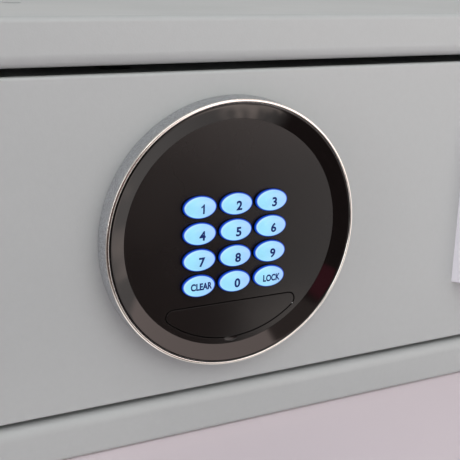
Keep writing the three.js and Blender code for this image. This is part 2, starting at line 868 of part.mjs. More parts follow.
// Key lock behind the half-moon cover, with a turning plug whose square tail meets the drive gear.
function overrideLock() {
  const boreR = PLUG_R + SEAT;
  const headBack = recessFloorY - SEAT;
  const body = turned(
    [
      [boreR, LOCK_FACE_Y],
      [LOCK_HEAD_R, LOCK_FACE_Y],
      [LOCK_HEAD_R, headBack],
      [LOCK_BODY_R, headBack],
      [LOCK_BODY_R, LOCK_BODY_END],
      [boreR, LOCK_BODY_END],
    ],
    keypadX,
    overrideZ,
    24,
  );
  add("override_lock_body", body, chrome);

  const face = LOCK_FACE_Y - PLUG_PROUD;
  const tailEnd = CHASSIS_Y - SEAT * 2;
  const plug = solid(rodY(PLUG_R, face, LOCK_BODY_END + SEAT, keypadX, overrideZ, 24));
  const half = TAIL_W / 2;
  const tail = solid(
    block(
      keypadX - half,
      keypadX + half,
      LOCK_BODY_END,
      tailEnd,
      overrideZ - half,
      overrideZ + half,
    ),
  );
  const keyway = block(
    keypadX - KEYWAY_W / 2,
    keypadX + KEYWAY_W / 2,
    face - 1,
    face + KEYWAY_DEPTH,
    overrideZ - KEYWAY_H / 2,
    overrideZ + KEYWAY_H / 2,
  );
  add("override_plug", cut(plug.add(tail), keyway), brass);
}

function jumpContacts() {
  const headBack = recessFloorY - SEAT;
  [-1, 1].forEach((side) => {
    const stud = turned(
      [
        [0, headBack - CONTACT_HEAD_T],
        [CONTACT_HEAD_R, headBack - CONTACT_HEAD_T],
        [CONTACT_HEAD_R, headBack],
        [CONTACT_STEM_R, headBack],
        [CONTACT_STEM_R, recessBackY],
        [0, recessBackY],
      ],
      keypadX + side * CONTACT_X,
      contactZ,
      10,
    );
    add(side < 0 ? "jump_contact_left" : "jump_contact_right", stud, brass);
  });
}

// Inner cover over the lock space: a folded box open towards the drawer front.
function lockCover() {
  const body = block(-coverX, coverX, trayFront, lockRear, coverBottom, coverTop);
  const room = block(
    -coverX + COVER_SHEET,
    coverX - COVER_SHEET,
    trayFront - 1,
    lockRear - COVER_SHEET,
    coverBottom - 1,
    coverTop - COVER_SHEET,
  );
  const boltHoles = [-boltX, boltX].map((x) =>
    plateZ(circle(x, boltY, BOLT_R + SLIDE_GAP), [], coverTop - 2 * COVER_SHEET, coverTop + 1),
  );
  const screwHoles = columnPlaces().map(([x, z]) =>
    rodY(SCREW_R + SEAT, lockRear - 2 * COVER_SHEET, lockRear + 1, x, z, 12),
  );
  const [bx0, bx1, bz0, bz1] = batteryBox();
  const window = block(
    bx0 + BOX_WALL,
    bx1 - BOX_WALL,
    lockRear - 2 * COVER_SHEET,
    lockRear + 1,
    bz0 + BOX_WALL,
    bz1 - BOX_WALL,
  );
  const [x, z] = buttonPlace();
  const buttonHole = rodY(BUTTON_R + SEAT, lockRear - 2 * COVER_SHEET, lockRear + 1, x, z, 20);
  add(
    "lock_cover",
    cut(solid(body), room, ...boltHoles, ...screwHoles, window, buttonHole),
    paint,
  );
}

function columnPlaces() {
  return [
    [-columnX, columnLow],
    [columnX, columnLow],
    [-columnX, columnHigh],
    [columnX, columnHigh],
  ];
}

// The plate that carries the lock work, its four columns and the two pins that guide the bolt bar.
function lockChassis() {
  const low = columnLow - COLUMN_R - CHASSIS_MARGIN;
  const edge = columnX + COLUMN_R + CHASSIS_MARGIN;
  const [rx0, rx1] = ribbonX();
  const slotZ = ribbonSlotZ();
  const plate = plateY(
    roundRect(-edge, edge, low, beamBottom, CHASSIS_CORNER),
    [
      circle(keypadX, overrideZ, HUB_R + SEAT),
      circle(motorX, overrideZ, SHAFT_R + 2 * SEAT, 12),
      rect(rx0 - SLOT_SIDE, rx1 + SLOT_SIDE, slotZ - SLOT_HALF_H, slotZ + SLOT_HALF_H),
    ],
    CHASSIS_Y,
    chassisRear,
  );
  const columns = columnPlaces().map(([x, z]) =>
    rodY(COLUMN_R, trayFront, lockRear - COVER_SHEET - SEAT, x, z, 12),
  );
  const pins = [-1, 1].flatMap((side) => {
    const x = side * legX();
    const z = pinZ();
    const headY = barRear + SLIDE_GAP;
    return [
      rodY(PIN_R, CHASSIS_Y, headY + PIN_HEAD_T / 2, x, z, 12),
      rodY(PIN_HEAD_R, headY, headY + PIN_HEAD_T, x, z, 12),
    ];
  });
  const bores = columnPlaces().map(([x, z]) =>
    rodY(SCREW_R + SEAT, lockRear - SCREW_L - SCREW_END_GAP, lockRear, x, z, 8),
  );
  const boardPosts = controlPosts().map(([x, z]) =>
    rodY(POST_R, CHASSIS_Y, controlY() - SEAT, x, z, 8),
  );
  add("lock_chassis", cut(join(plate, ...columns, ...pins, ...boardPosts), ...bores), zinc);
}

function coverScrews() {
  columnPlaces().forEach(([x, z], i) => {
    const face = lockRear + SEAT;
    const screw = turned(
      [
        [0, face - SCREW_L],
        [SCREW_R, face - SCREW_L],
        [SCREW_R, face],
        [SCREW_HEAD_R, face],
        [SCREW_HEAD_R, face + SCREW_HEAD_T * 0.5],
        [SCREW_HEAD_R * 0.7, face + SCREW_HEAD_T],
        [0, face + SCREW_HEAD_T],
      ],
      x,
      z,
      10,
    );
    add("cover_screw_" + (i + 1), screw, zinc);
  });
}

function legX() {
  return boltX + LEG_W / 2;
}

function pinZ() {
  return beamBottom - BOLT_TRAVEL - PIN_R - PIN_MARGIN;
}

// Gear teeth as an outline: each tooth has straight flanks, narrow enough for backlash.
function gearOutline(x, z, teeth, phase) {
  const pitchR = (GEAR_MODULE * teeth) / 2;
  const tipR = pitchR + GEAR_MODULE;
  const rootR = pitchR - DEDENDUM * GEAR_MODULE;
  const slope = Math.tan((PRESSURE_ANGLE * Math.PI) / 180);
  const tipHalf = TOOTH_HALF - slope * GEAR_MODULE;
  const rootHalf = TOOTH_HALF + slope * DEDENDUM * GEAR_MODULE;
  const points = [];
  for (let i = 0; i < teeth; i++) {
    const a = phase + (i * 2 * Math.PI) / teeth;
    const at = (r, side) =>
      new THREE.Vector2(
        x + r * Math.cos(a) - side * Math.sin(a),
        z + r * Math.sin(a) + side * Math.cos(a),
      );
    points.push(at(rootR, -rootHalf), at(tipR, -tipHalf), at(tipR, tipHalf), at(rootR, rootHalf));
  }
  return points;
}

function rackLeg() {
  const pitch = Math.PI * GEAR_MODULE;
  const slope = Math.tan((PRESSURE_ANGLE * Math.PI) / 180);
  const tipX = rackX - GEAR_MODULE;
  const tipHalf = TOOTH_HALF - slope * GEAR_MODULE;
  const rootHalf = TOOTH_HALF + slope * DEDENDUM * GEAR_MODULE;
  const below = Math.ceil(BOLT_TRAVEL / pitch) + TEETH_SPARE;
  const low = overrideZ - (below + 0.5) * pitch;
  const points = [
    new THREE.Vector2(rackBackX, low),
    new THREE.Vector2(rackBackX, beamBottom + BAR_H / 2),
    new THREE.Vector2(rackRootX, beamBottom + BAR_H / 2),
  ];
  for (let i = TEETH_ABOVE; i > -below; i--) {
    const z = overrideZ + (i - 0.5) * pitch;
    points.push(
      new THREE.Vector2(rackRootX, z + rootHalf),
      new THREE.Vector2(tipX, z + tipHalf),
      new THREE.Vector2(tipX, z - tipHalf),
      new THREE.Vector2(rackRootX, z - rootHalf),
    );
  }
  points.push(new THREE.Vector2(rackRootX, low));
  return plateY(points, [], barFront, barRear);
}

// The slide that lifts both bolts: a beam with a rack leg, two slotted guide legs and two tabs.
function boltBar() {
  const reach = legX() + LEG_W / 2;
  const beam = block(-reach, reach, barFront, barRear, beamBottom, tabTop);
  const legs = [-1, 1].map((side) => {
    const x = side * legX();
    const z = pinZ();
    const slotR = PIN_R + SLIDE_GAP;
    const slot = [
      ...arc(x, z, slotR, slotR, 0, Math.PI, 8),
      ...arc(x, z - BOLT_TRAVEL, slotR, slotR, Math.PI, 2 * Math.PI, 8),
    ];
    const low = z - BOLT_TRAVEL - slotR - LEG_END;
    const outline = rect(x - LEG_W / 2, x + LEG_W / 2, low, beamBottom + BAR_H / 2);
    return plateY(outline, [slot], barFront, barRear);
  });
  const tabs = [-1, 1].map((side) => {
    const x = side * boltX;
    const half = BOLT_R + TAB_MARGIN;
    const outline = rect(x - half, x + half, barFront, boltY + BOLT_R);
    return plateZ(outline, [circle(x, boltY, BOLT_SPIGOT_R + SEAT, 16)], tabTop - TAB_T, tabTop);
  });
  const bar = join(beam, ...legs, rackLeg());
  const holes = [-boltX, boltX].map((x) =>
    plateZ(circle(x, boltY, BOLT_SPIGOT_R + SEAT, 16), [], tabTop - BAR_H - 1, tabTop + 1),
  );
  add("bolt_bar", cut(tabs.map(solid).reduce((a, b) => a.add(b), bar), ...holes), zinc);
  [-1, 1].forEach((side) => {
    const bolt = turnedZ(
      [
        [0, tabTop - TAB_T],
        [BOLT_SPIGOT_R, tabTop - TAB_T],
        [BOLT_SPIGOT_R, tabTop + SEAT],
        [BOLT_R, tabTop + SEAT],
        [BOLT_R, boltTop - BOLT_CHAMFER],
        [BOLT_R - BOLT_CHAMFER, boltTop],
        [0, boltTop],
      ],
      side * boltX,
      boltY,
      16,
    );
    add(side < 0 ? "lock_bolt_left" : "lock_bolt_right", bolt, steel);
  });
}

function gears() {
  const wheel = plateY(gearOutline(keypadX, overrideZ, GEAR_TEETH, 0), [], barFront, barRear);
  const hub = rodY(HUB_R, CHASSIS_Y, barFront + BAR_T / 2, keypadX, overrideZ);
  const boss = rodY(HUB_R, barFront, lockRear - COVER_SHEET - SEAT, keypadX, overrideZ);
  add("drive_gear", join(wheel, hub, boss), nylon);

  const phase = Math.PI / PINION_TEETH;
  const pinion = plateY(gearOutline(motorX, overrideZ, PINION_TEETH, phase), [], barFront, barRear);
  const shaft = rodY(SHAFT_R, CHASSIS_Y - SHAFT_REACH, barRear, motorX, overrideZ, 12);
  add("motor_pinion", join(pinion, shaft), brass);

  const motorBack = CHASSIS_Y - SEAT;
  const can = rodY(MOTOR_R, motorBack - MOTOR_L, motorBack, motorX, overrideZ, 28);
  const boreFront = CHASSIS_Y - SHAFT_REACH - SHAFT_END_GAP;
  const bore = rodY(SHAFT_R + SEAT, boreFront, motorBack + 1, motorX, overrideZ, 12);
  add("lock_motor", cut(solid(can), bore), steel);
}

// Battery box outside: x0, x1, z0, z1.
function batteryBox() {
  const x0 = controlBox()[1] + BOX_GAP;
  const width = CELLS * CELL_PITCH + 2 * BOX_WALL;
  const z0 = coverBottom + BOX_LIFT;
  const length = CELL_FOOT_GAP + CELL_L + CELL_CAP_L + CELL_HEAD_GAP;
  return [x0, x0 + width, z0, z0 + length + 2 * BOX_WALL];
}

function batteries() {
  const [x0, x1, z0, z1] = batteryBox();
  const front = chassisRear + SEAT;
  const rear = lockRear - COVER_SHEET - SEAT;
  const body = solid(block(x0, x1, front, rear, z0, z1));
  const room = block(
    x0 + BOX_WALL,
    x1 - BOX_WALL,
    front + BOX_WALL,
    rear + 1,
    z0 + BOX_WALL,
    z1 - BOX_WALL,
  );
  add("battery_box", cut(body, room), plastic);

  const y = front + BOX_WALL + SEAT + CELL_R;
  for (let i = 0; i < CELLS; i++) {
    const x = x0 + BOX_WALL + (i + 0.5) * CELL_PITCH;
    const foot = z0 + BOX_WALL + CELL_FOOT_GAP;
    const upper = foot + CELL_L;
    const can = turnedZ(
      [
        [0, foot],
        [CELL_R, foot],
        [CELL_R, upper - CELL_SHOULDER],
        [CELL_CAP_R, upper - CELL_SHOULDER],
        [CELL_CAP_R, upper + CELL_CAP_L],
        [0, upper + CELL_CAP_L],
      ],
      x,
      y,
      14,
    );
    add("battery_" + (i + 1), can, cell);
  }

  const hingeY = lockRear + SEAT + LID_T / 2;
  const hingeZ = z0 - LID_LAP;
  const section = [
    ...arc(hingeY, hingeZ, LID_T / 2, LID_T / 2, Math.PI, 2 * Math.PI, 6),
    new THREE.Vector2(hingeY + LID_T / 2, hingeZ),
    new THREE.Vector2(hingeY + LID_T / 2, z1 + LID_LAP),
    new THREE.Vector2(hingeY - LID_T / 2, z1 + LID_LAP),
  ];
  add("battery_lid", runX(section, x0 - LID_LAP, x1 + LID_LAP), plastic);
}

// Control board: x0, x1, z0, z1.
function controlBox() {
  const x0 = rackBackX + CONTROL_GAP;
  const z0 = coverBottom + BOX_LIFT;
  return [x0, x0 + CONTROL_W, z0, z0 + CONTROL_H];
}

function controlY() {
  return barFront + CONTROL_STANDOFF;
}

function controlPosts() {
  const [x0, x1, z0, z1] = controlBox();
  return [
    [x0 + POST_INSET, z0 + POST_INSET],
    [x1 - POST_INSET, z0 + POST_INSET],
    [x1 - POST_INSET, z1 - POST_INSET],
  ];
}

function buttonPlace() {
  const [x0, x1, , z1] = controlBox();
  return [(x0 + x1) / 2 + BUTTON_SHIFT, z1 - BUTTON_DROP];
}

function controlBoard() {
  const [x0, x1, z0, z1] = controlBox();
  const y = controlY();
  const sheet = block(x0, x1, y, y + BOARD_T, z0, z1);
  const [bx, bz] = buttonPlace();
  const relayX = x0 + RELAY_INSET;
  const relayZ = z0 + RELAY_INSET;
  const inside = y + BOARD_T / 2;
  const relay = block(
    relayX,
    relayX + RELAY_W,
    inside,
    y + BOARD_T + RELAY_T,
    relayZ,
    relayZ + RELAY_H,
  );
  const flangeRear = lockRear - COVER_SHEET - SEAT;
  const switchTop = flangeRear - BUTTON_FLANGE_T - BUTTON_TRAVEL - SEAT;
  const half = SWITCH_W / 2;
  const switchBody = block(bx - half, bx + half, inside, switchTop, bz - half, bz + half);
  add("control_board", join(sheet, relay, switchBody), board);

  const button = turned(
    [
      [0, flangeRear - BUTTON_FLANGE_T],
      [BUTTON_FLANGE_R, flangeRear - BUTTON_FLANGE_T],
      [BUTTON_FLANGE_R, flangeRear],
      [BUTTON_R, flangeRear],
      [BUTTON_R, lockRear + BUTTON_PROUD],
      [0, lockRear + BUTTON_PROUD],
    ],
    bx,
    bz,
    20,
  );
  add("reset_button", button, red);
}

function ribbonX() {
  const x0 = controlBox()[0] + RIBBON_INSET;
  return [x0, x0 + RIBBON_W];
}

function ribbonZ() {
  return keypadZ + RIBBON_EXIT;
}

function ribbonSlotZ() {
  return controlBox()[3] + RIBBON_RISE;
}

// The flat cable from the keypad board, through the housing and the chassis, to the control board.
function ribbonCable() {
  const [x0, x1] = ribbonX();
  const start = boardFrontY + BOARD_T + SEAT;
  const upper = ribbonZ();
  const slot = ribbonSlotZ();
  const end = controlBox()[3] - RIBBON_LAP;
  const y = controlY() + BOARD_T + SEAT;
  const t = RIBBON_T;
  const bendOut = WELL_DEPTH + RIBBON_BEND;
  const bendIn = CHASSIS_Y - RIBBON_BEND;
  const path = [
    [start, upper],
    [bendOut, upper],
    [bendIn, slot],
    [y, slot],
    [y, end],
    [y + t, end],
    [y + t, slot + t],
    [bendIn + t / 2, slot + t],
    [bendOut + t / 2, upper + t],
    [start, upper + t],
  ];
  const section = path.map(([py, pz]) => new THREE.Vector2(py, pz));
  add("ribbon_cable", runX(section, x0, x1), plastic);
}

// The pull: a raised block over a cup let into the drawer front. The fingers go in at the right and
// hook behind the left part of its front.
function pullHousing() {
  const z = CASE_H / 2;
  const halfW = PULL_W / 2;
  const halfH = PULL_H / 2;
  const raised = block(PULL_X - halfW, PULL_X + halfW, -PULL_PROUD, 0, z - halfH, z + halfH);
  const [cx0, cx1, cz0, cz1] = cupBox(0);
  const cup = block(cx0, cx1, -1, CUP_DEPTH, cz0, cz1);
  const room = block(
    cx0 + CUP_WALL,
    cx1 - CUP_WALL,
    -PULL_PROUD + PULL_LIP_T,
    CUP_DEPTH - CUP_WALL,
    cz0 + CUP_WALL,
    cz1 - CUP_WALL,
  );
  const mouth = block(
    PULL_X - halfW + PULL_GRIP,
    cx1 - CUP_WALL,
    -PULL_PROUD - 1,
    0,
    cz0 + CUP_WALL,
    cz1 - CUP_WALL,
  );
  add("pull_housing", cut(join(raised, cup), room, mouth), paint);
}

frontFrame();
casingWrap();
rearPanel();
strikePlate();
runner(-1, "left");
runner(1, "right");
drawerFront();
drawerTray();
keypadHousing();
trimRing();
glossRing();
facePlate();
serviceCover();
keys();
keypadInside();
overrideLock();
jumpContacts();
lockCover();
lockChassis();
coverScrews();
boltBar();
gears();
batteries();
controlBoard();
ribbonCable();
pullHousing();

export default safe;
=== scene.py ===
import math

import bmesh
import bpy
from mathutils import Matrix, Vector


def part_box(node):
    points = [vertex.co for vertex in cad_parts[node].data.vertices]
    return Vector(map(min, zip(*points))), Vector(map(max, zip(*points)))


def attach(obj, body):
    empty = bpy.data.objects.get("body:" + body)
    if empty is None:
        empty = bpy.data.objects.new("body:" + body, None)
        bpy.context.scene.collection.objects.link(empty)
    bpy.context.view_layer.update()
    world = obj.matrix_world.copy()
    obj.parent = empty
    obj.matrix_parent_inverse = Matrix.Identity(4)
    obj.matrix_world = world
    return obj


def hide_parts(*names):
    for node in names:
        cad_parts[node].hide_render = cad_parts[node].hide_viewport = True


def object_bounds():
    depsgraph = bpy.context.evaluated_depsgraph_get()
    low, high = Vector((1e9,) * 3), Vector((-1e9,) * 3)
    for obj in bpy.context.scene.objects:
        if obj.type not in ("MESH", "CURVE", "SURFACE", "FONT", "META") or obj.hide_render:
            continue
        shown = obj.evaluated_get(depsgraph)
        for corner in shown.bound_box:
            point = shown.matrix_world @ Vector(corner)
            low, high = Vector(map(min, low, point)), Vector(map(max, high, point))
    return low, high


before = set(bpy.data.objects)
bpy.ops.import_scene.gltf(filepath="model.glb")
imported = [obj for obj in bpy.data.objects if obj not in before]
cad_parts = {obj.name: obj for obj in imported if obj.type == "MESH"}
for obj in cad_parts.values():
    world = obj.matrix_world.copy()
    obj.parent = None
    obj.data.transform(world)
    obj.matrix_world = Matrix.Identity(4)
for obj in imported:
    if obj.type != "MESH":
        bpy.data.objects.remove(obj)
cad_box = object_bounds()

# Studio: a pale table top, a bright window side to the right of the front and a dark room behind
# the camera, which stands to the left of the safe and looks down at the keypad.
MM = 0.001
front_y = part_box("front_frame")[0].y
scene = bpy.context.scene
scene.view_settings.view_transform = "Standard"


def at(x, y, z):
    """Millimetres from the casing's middle, front plane and underside, as a point of the row frame."""
    return Vector((x * MM, front_y + y * MM, z * MM))


def tone(red, green, blue):
    """A colour as it looks on a screen, 0 to 255, in the linear values that shaders take."""
    screen = (c / 255 for c in (red, green, blue))
    return [c / 12.92 if c < 0.04045 else ((c + 0.055) / 1.055) ** 2.4 for c in screen] + [1.0]


def add_node(tree, kind, inputs=None, **settings):
    """A node with its settings, and its inputs given as values or as the sockets that feed them."""
    made = tree.nodes.new(kind)
    for name, value in settings.items():
        setattr(made, name, value)
    for key, value in (inputs or {}).items():
        if isinstance(value, bpy.types.NodeSocket):
            tree.links.new(value, made.inputs[key])
        else:
            made.inputs[key].default_value = value
    return made


def maths(tree, operation, *values):
    """The result of a Math node."""
    return add_node(tree, "ShaderNodeMath", dict(enumerate(values)), operation=operation).outputs[0]


def vector_maths(tree, operation, first, second=None):
    """The result of a Vector Math node: a number for a dot product or a length, else a vector."""
    inputs = {0: first}
    if second is not None:
        inputs["Scale" if operation == "SCALE" else 1] = second
    made = add_node(tree, "ShaderNodeVectorMath", inputs, operation=operation)
    return made.outputs["Value" if operation in ("DOT_PRODUCT", "LENGTH") else "Vector"]


def ranged(tree, value, start, end, first=0.0, last=1.0, **settings):
    """A value that goes from first to last while another goes from start to end."""
    inputs = {"Value": value, "From Min": start, "From Max": end, "To Min": first, "To Max": last}
    return add_node(tree, "ShaderNodeMapRange", inputs, **settings).outputs[0]


def noise(tree, place, scale, detail, roughness=0.5):
    """A cloudy pattern between 0 and 1."""
    inputs = {"Vector": place, "Scale": scale, "Detail": detail, "Roughness": roughness}
    return add_node(tree, "ShaderNodeTexNoise", inputs).outputs["Fac"]


def blended(tree, factor, first, second):
    """The first colour where a factor is 0, the second where it is 1."""
    inputs = {"Factor": factor, 6: first, 7: second}
    return add_node(tree, "ShaderNodeMix", inputs, data_type="RGBA").outputs[2]


def feed(node, **sources):
    """Joins sockets to a node's inputs, named with _ for a space."""
    for name, source in sources.items():
        node.id_data.links.new(source, node.inputs[name.replace("_", " ")])


def new_group(name, inputs, outputs, kind="Shader"):
    """An empty node group, the sockets that carry its inputs, and its output node. Inputs and outputs
    are dictionaries of names and types."""
    group = bpy.data.node_groups.new(name, kind + "NodeTree")
    for direction, sockets in (("INPUT", inputs), ("OUTPUT", outputs)):
        for label, socket_type in sockets.items():
            group.interface.new_socket(label, in_out=direction, socket_type="NodeSocket" + socket_type)
    return group, group.nodes.new("NodeGroupInput").outputs, group.nodes.new("NodeGroupOutput")


LENS, SENSOR = 72.27, 36
YAW, PITCH, ROLL = 0.4729, 0.2902, 0.0256
camera_place = Vector((-0.25802, -0.53419, 0.21408))
forward = Vector((math.sin(YAW) * math.cos(PITCH), math.cos(YAW) * math.cos(PITCH), -math.sin(PITCH)))
level = Vector((math.cos(YAW), -math.sin(YAW), 0))
upward = level.cross(forward)
camera_right = math.cos(ROLL) * level + math.sin(ROLL) * upward
camera_top = -math.sin(ROLL) * level + math.cos(ROLL) * upward
camera = bpy.data.objects.new("camera", bpy.data.cameras.new("camera"))
camera.data.lens = LENS
camera.data.sensor_width = SENSOR
camera.data.clip_start = 0.01
camera.data.clip_end = 50
turned_camera = Matrix((camera_right, camera_top, -forward)).transposed().to_4x4()
camera.matrix_world = Matrix.Translation(camera_place) @ turned_camera
scene.collection.objects.link(camera)
scene.camera = camera

# What shiny pieces mirror, by its bearing from the keypad: pale all round, dark in a wide cone about
# the camera, a tall window to the right, torn bright patches low on the right, a dim red one in front.
surroundings, given, result = new_group("surroundings", {"Direction": "Vector"}, {"Color": "Color"})
pointing = vector_maths(surroundings, "NORMALIZE", given[0])
tear = noise(surroundings, pointing, 9.0, 3.0)
axes = add_node(surroundings, "ShaderNodeSeparateXYZ", {0: pointing}).outputs
outward = maths(surroundings, "MULTIPLY", axes["Y"], -1.0)
turn = maths(surroundings, "ARCTAN2", axes["X"], outward)
climb = maths(surroundings, "ARCSINE", axes["Z"])


def bearing(azimuth, height):
    """A direction from its azimuth, 0 in front and 90 to the right, and its height, in degrees."""
    a, h = math.radians(azimuth), math.radians(height)
    return Vector((math.sin(a) * math.cos(h), -math.cos(a) * math.cos(h), math.sin(h)))


def soft_step(value, outer, inner, torn):
    """A factor that goes smoothly from 0 to 1, over an edge that the noise tears."""
    ragged = maths(surroundings, "MULTIPLY_ADD", tear, torn, value)
    start, end = outer + torn / 2, inner + torn / 2
    return ranged(surroundings, ragged, start, end, interpolation_type="SMOOTHSTEP")


def patch(azimuth, height, radius, softness, torn=0.0):
    """A factor that is 1 near a bearing and falls to 0 at a radius, in degrees, with a torn edge."""
    facing = vector_maths(surroundings, "DOT_PRODUCT", pointing, bearing(azimuth, height))
    outer, inner = math.cos(math.radians(radius)), math.cos(math.radians(radius - softness))
    return soft_step(facing, outer, inner, torn)


def pane(left, right, low, high, softness, torn=0.0):
    """A factor that is 1 between two azimuths and two heights, in degrees."""
    sides = []
    for angle, start, end in ((turn, left, right), (climb, low, high)):
        middle, half = math.radians((start + end) / 2), math.radians((end - start) / 2)
        edge = math.radians(softness) / 2
        off = maths(surroundings, "ABSOLUTE", maths(surroundings, "SUBTRACT", angle, middle))
        sides.append(soft_step(off, half + edge, half - edge, torn))
    return maths(surroundings, "MULTIPLY", *sides)


colour = tone(212, 210, 209)
layers = (
    (patch(75, -2, 50, 36), (1.05, 1.02, 1.0, 1)),
    (patch(-22, -20, 52, 6), (0.07, 0.05, 0.045, 1)),
    (patch(-64, -52, 28, 16), (1.05, 1.0, 0.98, 1)),
    (pane(-5, 12, 6, 28, 3, 0.1), (0.36, 0.3, 0.28, 1)),
    (pane(-14, -5, -1, 9, 3, 0.05), (0.4, 0.07, 0.12, 1)),
    (pane(11, 64, -6, 25, 2.5, 0.12), (2.0, 1.74, 1.66, 1)),
    (patch(41, -35, 9, 5, 0.05), (2.3, 2.05, 1.9, 1)),
    (patch(61, -20, 8, 5, 0.06), (1.9, 1.7, 1.6, 1)),
)
for factor, layer_colour in layers:
    colour = blended(surroundings, factor, colour, layer_colour)
feed(result, Color=colour)

MIRROR_STRENGTH, FILL_STRENGTH = 1.15, 0.36
world = bpy.data.worlds.new("studio")
world.use_nodes = True
scene.world = world
sky = world.node_tree
sky.nodes.clear()
where = add_node(sky, "ShaderNodeTexCoord").outputs["Generated"]
around = add_node(sky, "ShaderNodeGroup", {0: where}, node_tree=surroundings).outputs[0]
ray = add_node(sky, "ShaderNodeLightPath").outputs


def glow_of(tree, kind, colour, strength):
    """A shader that gives off light: a Background in the world, an Emission in a material."""
    return add_node(tree, "ShaderNode" + kind, {"Color": colour, "Strength": strength}).outputs[0]


def either(tree, factor, first, second):
    """The first shader where a factor is 0, the second where it is 1."""
    return add_node(tree, "ShaderNodeMixShader", {0: factor, 1: first, 2: second}).outputs[0]


clear_rays = maths(sky, "MAXIMUM", ray["Is Glossy Ray"], ray["Is Transmission Ray"])
fill = glow_of(sky, "Background", tone(248, 250, 253), FILL_STRENGTH)
lit = either(sky, clear_rays, fill, glow_of(sky, "Background", around, MIRROR_STRENGTH))
backdrop = glow_of(sky, "Background", tone(240, 234, 235), 1.0)
add_node(sky, "ShaderNodeOutputWorld", {"Surface": either(sky, ray["Is Camera Ray"], lit, backdrop)})

keypad_middle = (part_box("trim_ring")[0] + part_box("trim_ring")[1]) / 2
TABLE_REACH, TABLE_DROP = 4.0, 0.0002
table_material = bpy.data.materials.new("table_top")
table_material.use_nodes = True
top = table_material.node_tree
surface = top.nodes["Principled BSDF"]
surface.inputs["Roughness"].default_value = 0.6
surface.inputs["Base Color"].default_value = tone(220, 208, 213)
where = add_node(top, "ShaderNodeTexCoord").outputs["Object"]
from_keypad = vector_maths(top, "SUBTRACT", where, keypad_middle)
around = add_node(top, "ShaderNodeGroup", {0: from_keypad}, node_tree=surroundings).outputs[0]
ray = add_node(top, "ShaderNodeLightPath").outputs
# Seen in reflections the table top glows with the surroundings' pattern instead of its own colour: painted
# light, the windows and the dark room that shiny pieces mirror.
painted_reflection_glow = glow_of(top, "Emission", around, MIRROR_STRENGTH)
shown = either(top, ray["Is Glossy Ray"], surface.outputs[0], painted_reflection_glow)
feed(top.nodes["Material Output"], Surface=shown)
table_mesh = bpy.data.meshes.new("table_top")
square = ((-1, -1), (1, -1), (1, 1), (-1, 1))
corners = [(x * TABLE_REACH, y * TABLE_REACH, -TABLE_DROP) for x, y in square]
table_mesh.from_pydata(corners, [], [(0, 1, 2, 3)])
table_mesh.materials.append(table_material)
table = bpy.data.objects.new("table_top", table_mesh)
scene.collection.objects.link(table)


def softbox(name, azimuth, height, distance, width, tall, radiance, colour=(1, 1, 1)):
    """A flat lamp that faces the keypad, placed by its bearing from there."""
    lamp = bpy.data.lights.new(name, "AREA")
    lamp.shape = "RECTANGLE"
    lamp.size = width
    lamp.size_y = tall
    lamp.energy = 4 * width * tall * radiance
    lamp.color = colour
    holder = bpy.data.objects.new(name, lamp)
    holder.location = keypad_middle + bearing(azimuth, height) * distance
    holder.rotation_euler = (-bearing(azimuth, height)).to_track_quat("-Z", "Y").to_euler()
    holder.visible_glossy = name != "window"
    scene.collection.objects.link(holder)


softbox("window", 30, 30, 0.7, 0.8, 0.6, 1.15, (1.0, 0.99, 0.985))
softbox("ceiling", 0, 56, 1.4, 1.3, 1.0, 0.8)
softbox("left_window", -80, 14, 1.1, 0.45, 0.8, 2.6, (0.97, 0.98, 1.0))
softbox("left_lamp", -34, 38, 1.2, 0.22, 0.16, 4.0)

# Casing: 2 mm steel sheet folded into a sleeve, a front frame with a rolled inner edge welded to it
# and a spot-welded back. All of it is powder coated in a light grey with a faint orange peel.
coat_settings = {"Vector": "Vector", "Color": "Color", "Grain": "Float", "Unevenness": "Float"}
skin_results = {"Color": "Color", "Roughness": "Float", "Height": "Float"}
coat, given, result = new_group("powder_coat", coat_settings, skin_results)


def varied(tree, swing, amount, colour):
    """A colour made darker and lighter by a pattern that swings about 0."""
    return vector_maths(tree, "SCALE", colour, maths(tree, "MULTIPLY_ADD", swing, amount, 1.0))


grain_scale = maths(coat, "DIVIDE", 1 / MM, given["Grain"])
peel = noise(coat, given["Vector"], grain_scale, 2.0)
cloud = noise(coat, given["Vector"], 14.0, 4.0)
speck = noise(coat, given["Vector"], 420.0, 3.0)
swing = maths(coat, "SUBTRACT", maths(coat, "ADD", cloud, speck), 1.0)
shaded = varied(coat, swing, given["Unevenness"], given["Color"])
feed(result, Color=shaded, Roughness=ranged(coat, cloud, 0.3, 0.7, 0.36, 0.48), Height=peel)


def new_material(name, metallic=0.0, **constants):
    """A material with its Principled shader, its node tree and the object coordinates of the piece."""
    made = bpy.data.materials.new(name)
    made.use_nodes = True
    shader = made.node_tree.nodes["Principled BSDF"]
    shader.inputs["Metallic"].default_value = metallic
    for socket, value in constants.items():
        shader.inputs[socket.replace("_", " ")].default_value = value
    places = add_node(made.node_tree, "ShaderNodeTexCoord")
    return made, made.node_tree, shader, places.outputs["Object"]


def raise_surface(shader, height, depth):
    """Feeds a height pattern, depth in millimetres, to the shader's normal."""
    inputs = {"Height": height, "Distance": depth * MM, "Strength": 1.0}
    feed(shader, Normal=add_node(shader.id_data, "ShaderNodeBump", inputs).outputs[0])


def covered(name, finish, settings, depth, metallic=0.0):
    """A material that takes its colour, gloss and relief from one of the groups."""
    made, tree, shader, places = new_material(name, metallic)
    inputs = dict(enumerate([places, *settings]))
    skin = add_node(tree, "ShaderNodeGroup", inputs, node_tree=finish).outputs
    feed(shader, Base_Color=skin["Color"], Roughness=skin["Roughness"])
    raise_surface(shader, skin["Height"], depth)
    return made


def coated(name, colour, grain, unevenness, depth):
    """A powder coat or a moulded plastic, its grain and the depth of its relief in millimetres."""
    return covered(name, coat, (colour, grain, unevenness), depth)


casing_paint = coated("casing_paint", tone(181, 184, 183), 0.7, 0.05, 0.03)


